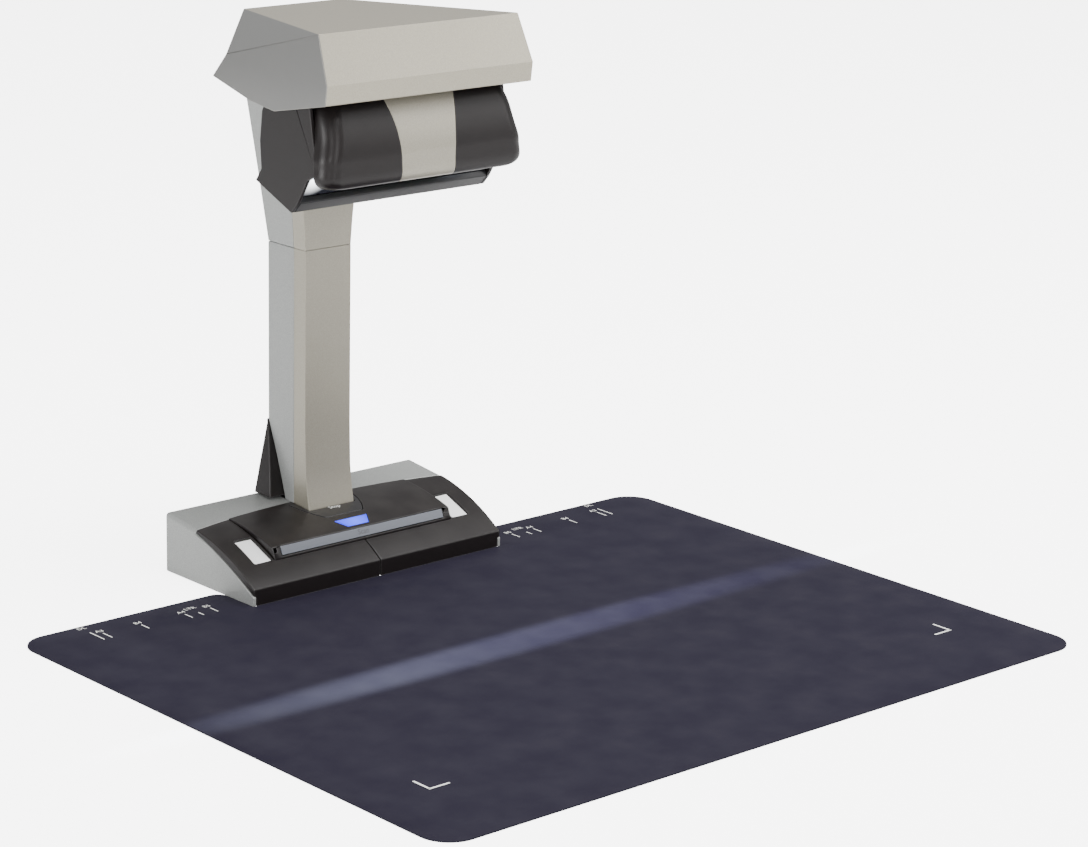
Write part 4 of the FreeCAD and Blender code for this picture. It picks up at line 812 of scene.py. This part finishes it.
# %% Finish: ink
def ink_finish(name, colour, patchy):
    made, tree, shader = new_finish(name, Specular_IOR_Level=0.3)
    weave = use_group(tree, weave_group)
    body = blend_colour(tree, weave["Nap"], tint(colour, patchy), colour)
    tree.links.new(body, shader.inputs["Base Color"])
    tree.links.new(span(tree, weave["Nap"], 0.55, 0.7), shader.inputs["Roughness"])
    raise_surface(tree, shader, weave["Height"], 0.15, 0.00004)
    return made


white_ink = ink_finish("white_ink", paint_card(244, 244, 240), 0.82)
grey_ink = ink_finish("grey_ink", paint_card(92, 92, 94), 0.9)
print("inks:", white_ink.name, grey_ink.name)

# %% Helpers for print and small mouldings
def bar_face(mesh, low, high, level):
    corners = [(low[0], low[1]), (high[0], low[1]), (high[0], high[1]), (low[0], high[1])]
    mesh.faces.new([mesh.verts.new((x, y, level)) for x, y in corners])


def add_word(mesh, text, height, place):
    curve = bpy.data.curves.new("word_" + text, "FONT")
    curve.body = text
    curve.size = height
    curve.align_x, curve.align_y = "CENTER", "CENTER"
    curve.resolution_u = 3
    draft = place_object("word_draft", curve)
    seen = draft.evaluated_get(bpy.context.evaluated_depsgraph_get())
    word = bpy.data.meshes.new_from_object(seen)
    bpy.data.objects.remove(draft)
    bpy.data.curves.remove(curve)
    word.transform(place)
    mesh.from_mesh(word)
    bpy.data.meshes.remove(word)


def lying_on(node, start, toward, gap=0.0):
    _, place, normal, _ = parts[node].ray_cast(start, toward)
    lay = normal.to_track_quat("Z", "Y").to_matrix().to_4x4()
    return Matrix.Translation(place + normal * gap) @ lay


def finish_piece(name, mesh, finish, body):
    bmesh.ops.recalc_face_normals(mesh, faces=mesh.faces)
    made = place_object(name, finished_mesh(name, mesh))
    made.data.materials.append(finish)
    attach(made, body)
    return made


# %% Print the paper sizes
base_depth = 0.062
dock_line = box_of("base_cover")[1].y - base_depth
ink_level = mat_high.z + 0.00012
line_half, angle_half = 0.0004, 0.0008
label_height, label_gap = 0.0052, 0.0042
marks_front = dock_line - 0.0297
papers = (  # label, distance from the middle, length of the line, extra gap before the label
    ("A3", 0.210, 0.0101, 0.0), ("B4", 0.182, 0.0085, 0.0), ("A4", 0.1485, 0.0085, 0.0),
    ("LTR", 0.1397, 0.0060, 0.0052), ("B5", 0.1285, 0.0085, 0.0), ("DL", 0.2159, 0.0161, 0.0052))
corner_reach, corner_front, corner_arm = 0.216, 0.347, 0.0145
size_marks = bmesh.new()
for side in (-1, 1):
    for label, reach, length, lift in papers:
        x = side * reach
        bar_face(size_marks, (x - line_half, marks_front), (x + line_half, marks_front + length),
                 ink_level)
        spot = (x, marks_front + length + label_gap + lift, ink_level)
        add_word(size_marks, label, label_height, Matrix.Translation(spot))
    corner = Vector((side * corner_reach, dock_line - corner_front))
    bar_face(size_marks, (corner.x - angle_half, corner.y),
             (corner.x + angle_half, corner.y + corner_arm), ink_level)
    ends = sorted((corner.x + side * angle_half, corner.x - side * corner_arm))
    bar_face(size_marks, (ends[0], corner.y - angle_half), (ends[1], corner.y + angle_half),
             ink_level)
marks = finish_piece("mat_size_marks", size_marks, white_ink, "stand")
print("size marks:", len(marks.data.polygons), "faces")

# %% [markdown]
# ### Words on the keys
# Each key says what it does in one plain word. The small key has its word in white beside the
# column, and the bar has its word in grey in the middle of its sloping face. A ray from above
# finds the face, and the word is turned to lie on it.

# %% Print the key words
down = Vector((0, 0, -1))
word_gap = 0.00008


def key_word(name, piece, inset, text, height, ink, body):
    start = Vector((0.0, box_of(piece)[0].y + inset, 0.3))
    word = bmesh.new()
    add_word(word, text, height, lying_on(piece, start, down, word_gap))
    return finish_piece(name, word, ink, body)


stop_word = key_word("stop_word", "stop_button", 0.011, "Stop", 0.0050, white_ink,
                     "stop_key")
scan_word = key_word("scan_word", "scan_button", 0.0013, "Scan", 0.0052, grey_ink,
                     "scan_key")
print("key words:", stop_word.name, scan_word.name)

# %% [markdown]
# ## Small mouldings at the back
# The rear wall has a plain rating plate beside the sockets and a raised rib under each of them. The
# column has two screws sunk in round wells behind. None of them carries any wording. Each is
# modelled in its own mesh and lies against the face that it is fixed to, which a ray finds. Both
# kinds are a stack of rings with a skin between them: an extrusion would give the same shape, but
# its points come in a different order on each run.

# %% Helpers for plates and screws
def skin_rings(rings, backed=False):
    mesh = bmesh.new()
    loops = [[mesh.verts.new(point) for point in ring] for ring in rings]
    for low, high in zip(loops, loops[1:]):
        for i in range(len(low)):
            j = (i + 1) % len(low)
            mesh.faces.new((low[i], low[j], high[j], high[i]))
    mesh.faces.new(loops[-1])
    if backed:
        mesh.faces.new(loops[0][::-1])
    return mesh


def rounded_plate(width, height, thick, corner, steps=5):
    rim = []
    for turn, (sx, sy) in enumerate(((1, 1), (-1, 1), (-1, -1), (1, -1))):
        for i in range(steps + 1):
            angle = math.pi / 2 * (turn + i / steps)
            rim.append((sx * (width / 2 - corner) + corner * math.cos(angle),
                        sy * (height / 2 - corner) + corner * math.sin(angle)))
    return skin_rings([[(x, y, level) for x, y in rim] for level in (0.0, thick)], backed=True)


def turned_profile(points, steps=32):
    return skin_rings([circle_points(radius, level, steps) for radius, level in points])


def fix_behind(name, mesh, node, x, z, finish):
    mesh.transform(lying_on(node, Vector((x, 0.6, z)), Vector((0, -1, 0))))
    return finish_piece(name, mesh, finish, "stand")


# %% Fix the rear plate, the ribs and the screws
plate = fix_behind("rating_plate", rounded_plate(0.052, 0.020, thick=0.00025, corner=0.002),
                   "base_cover", -0.030, 0.021, bar_silver)
rib_gap = 0.0022
for name, node in (("jack_rib", "dc_jack"), ("data_rib", "usb_socket")):
    low, high = box_of(node)
    fix_behind(name, rounded_plate(0.012, 0.0012, thick=0.0005, corner=0.0005), "base_cover",
               (low.x + high.x) / 2, low.z - rib_gap, cool_grey)

screw_profile = (  # radius and level, from the well's outer rim to the bottom of the recess
    (0.0030, 0.00035), (0.0028, 0.00045), (0.0024, 0.00035),
    (0.0023, 0.0001), (0.0012, 0.00012), (0.0011, 0.00002))
for name, node, height in (("column_screw_low", "lower_rear_cover", 0.150),
                           ("column_screw_high", "upper_rear_cover", 0.290)):
    fix_behind(name, turned_profile(screw_profile), node, 0.0, height, screw_steel)
print("rear plate:", [round(v, 4) for v in plate.dimensions])
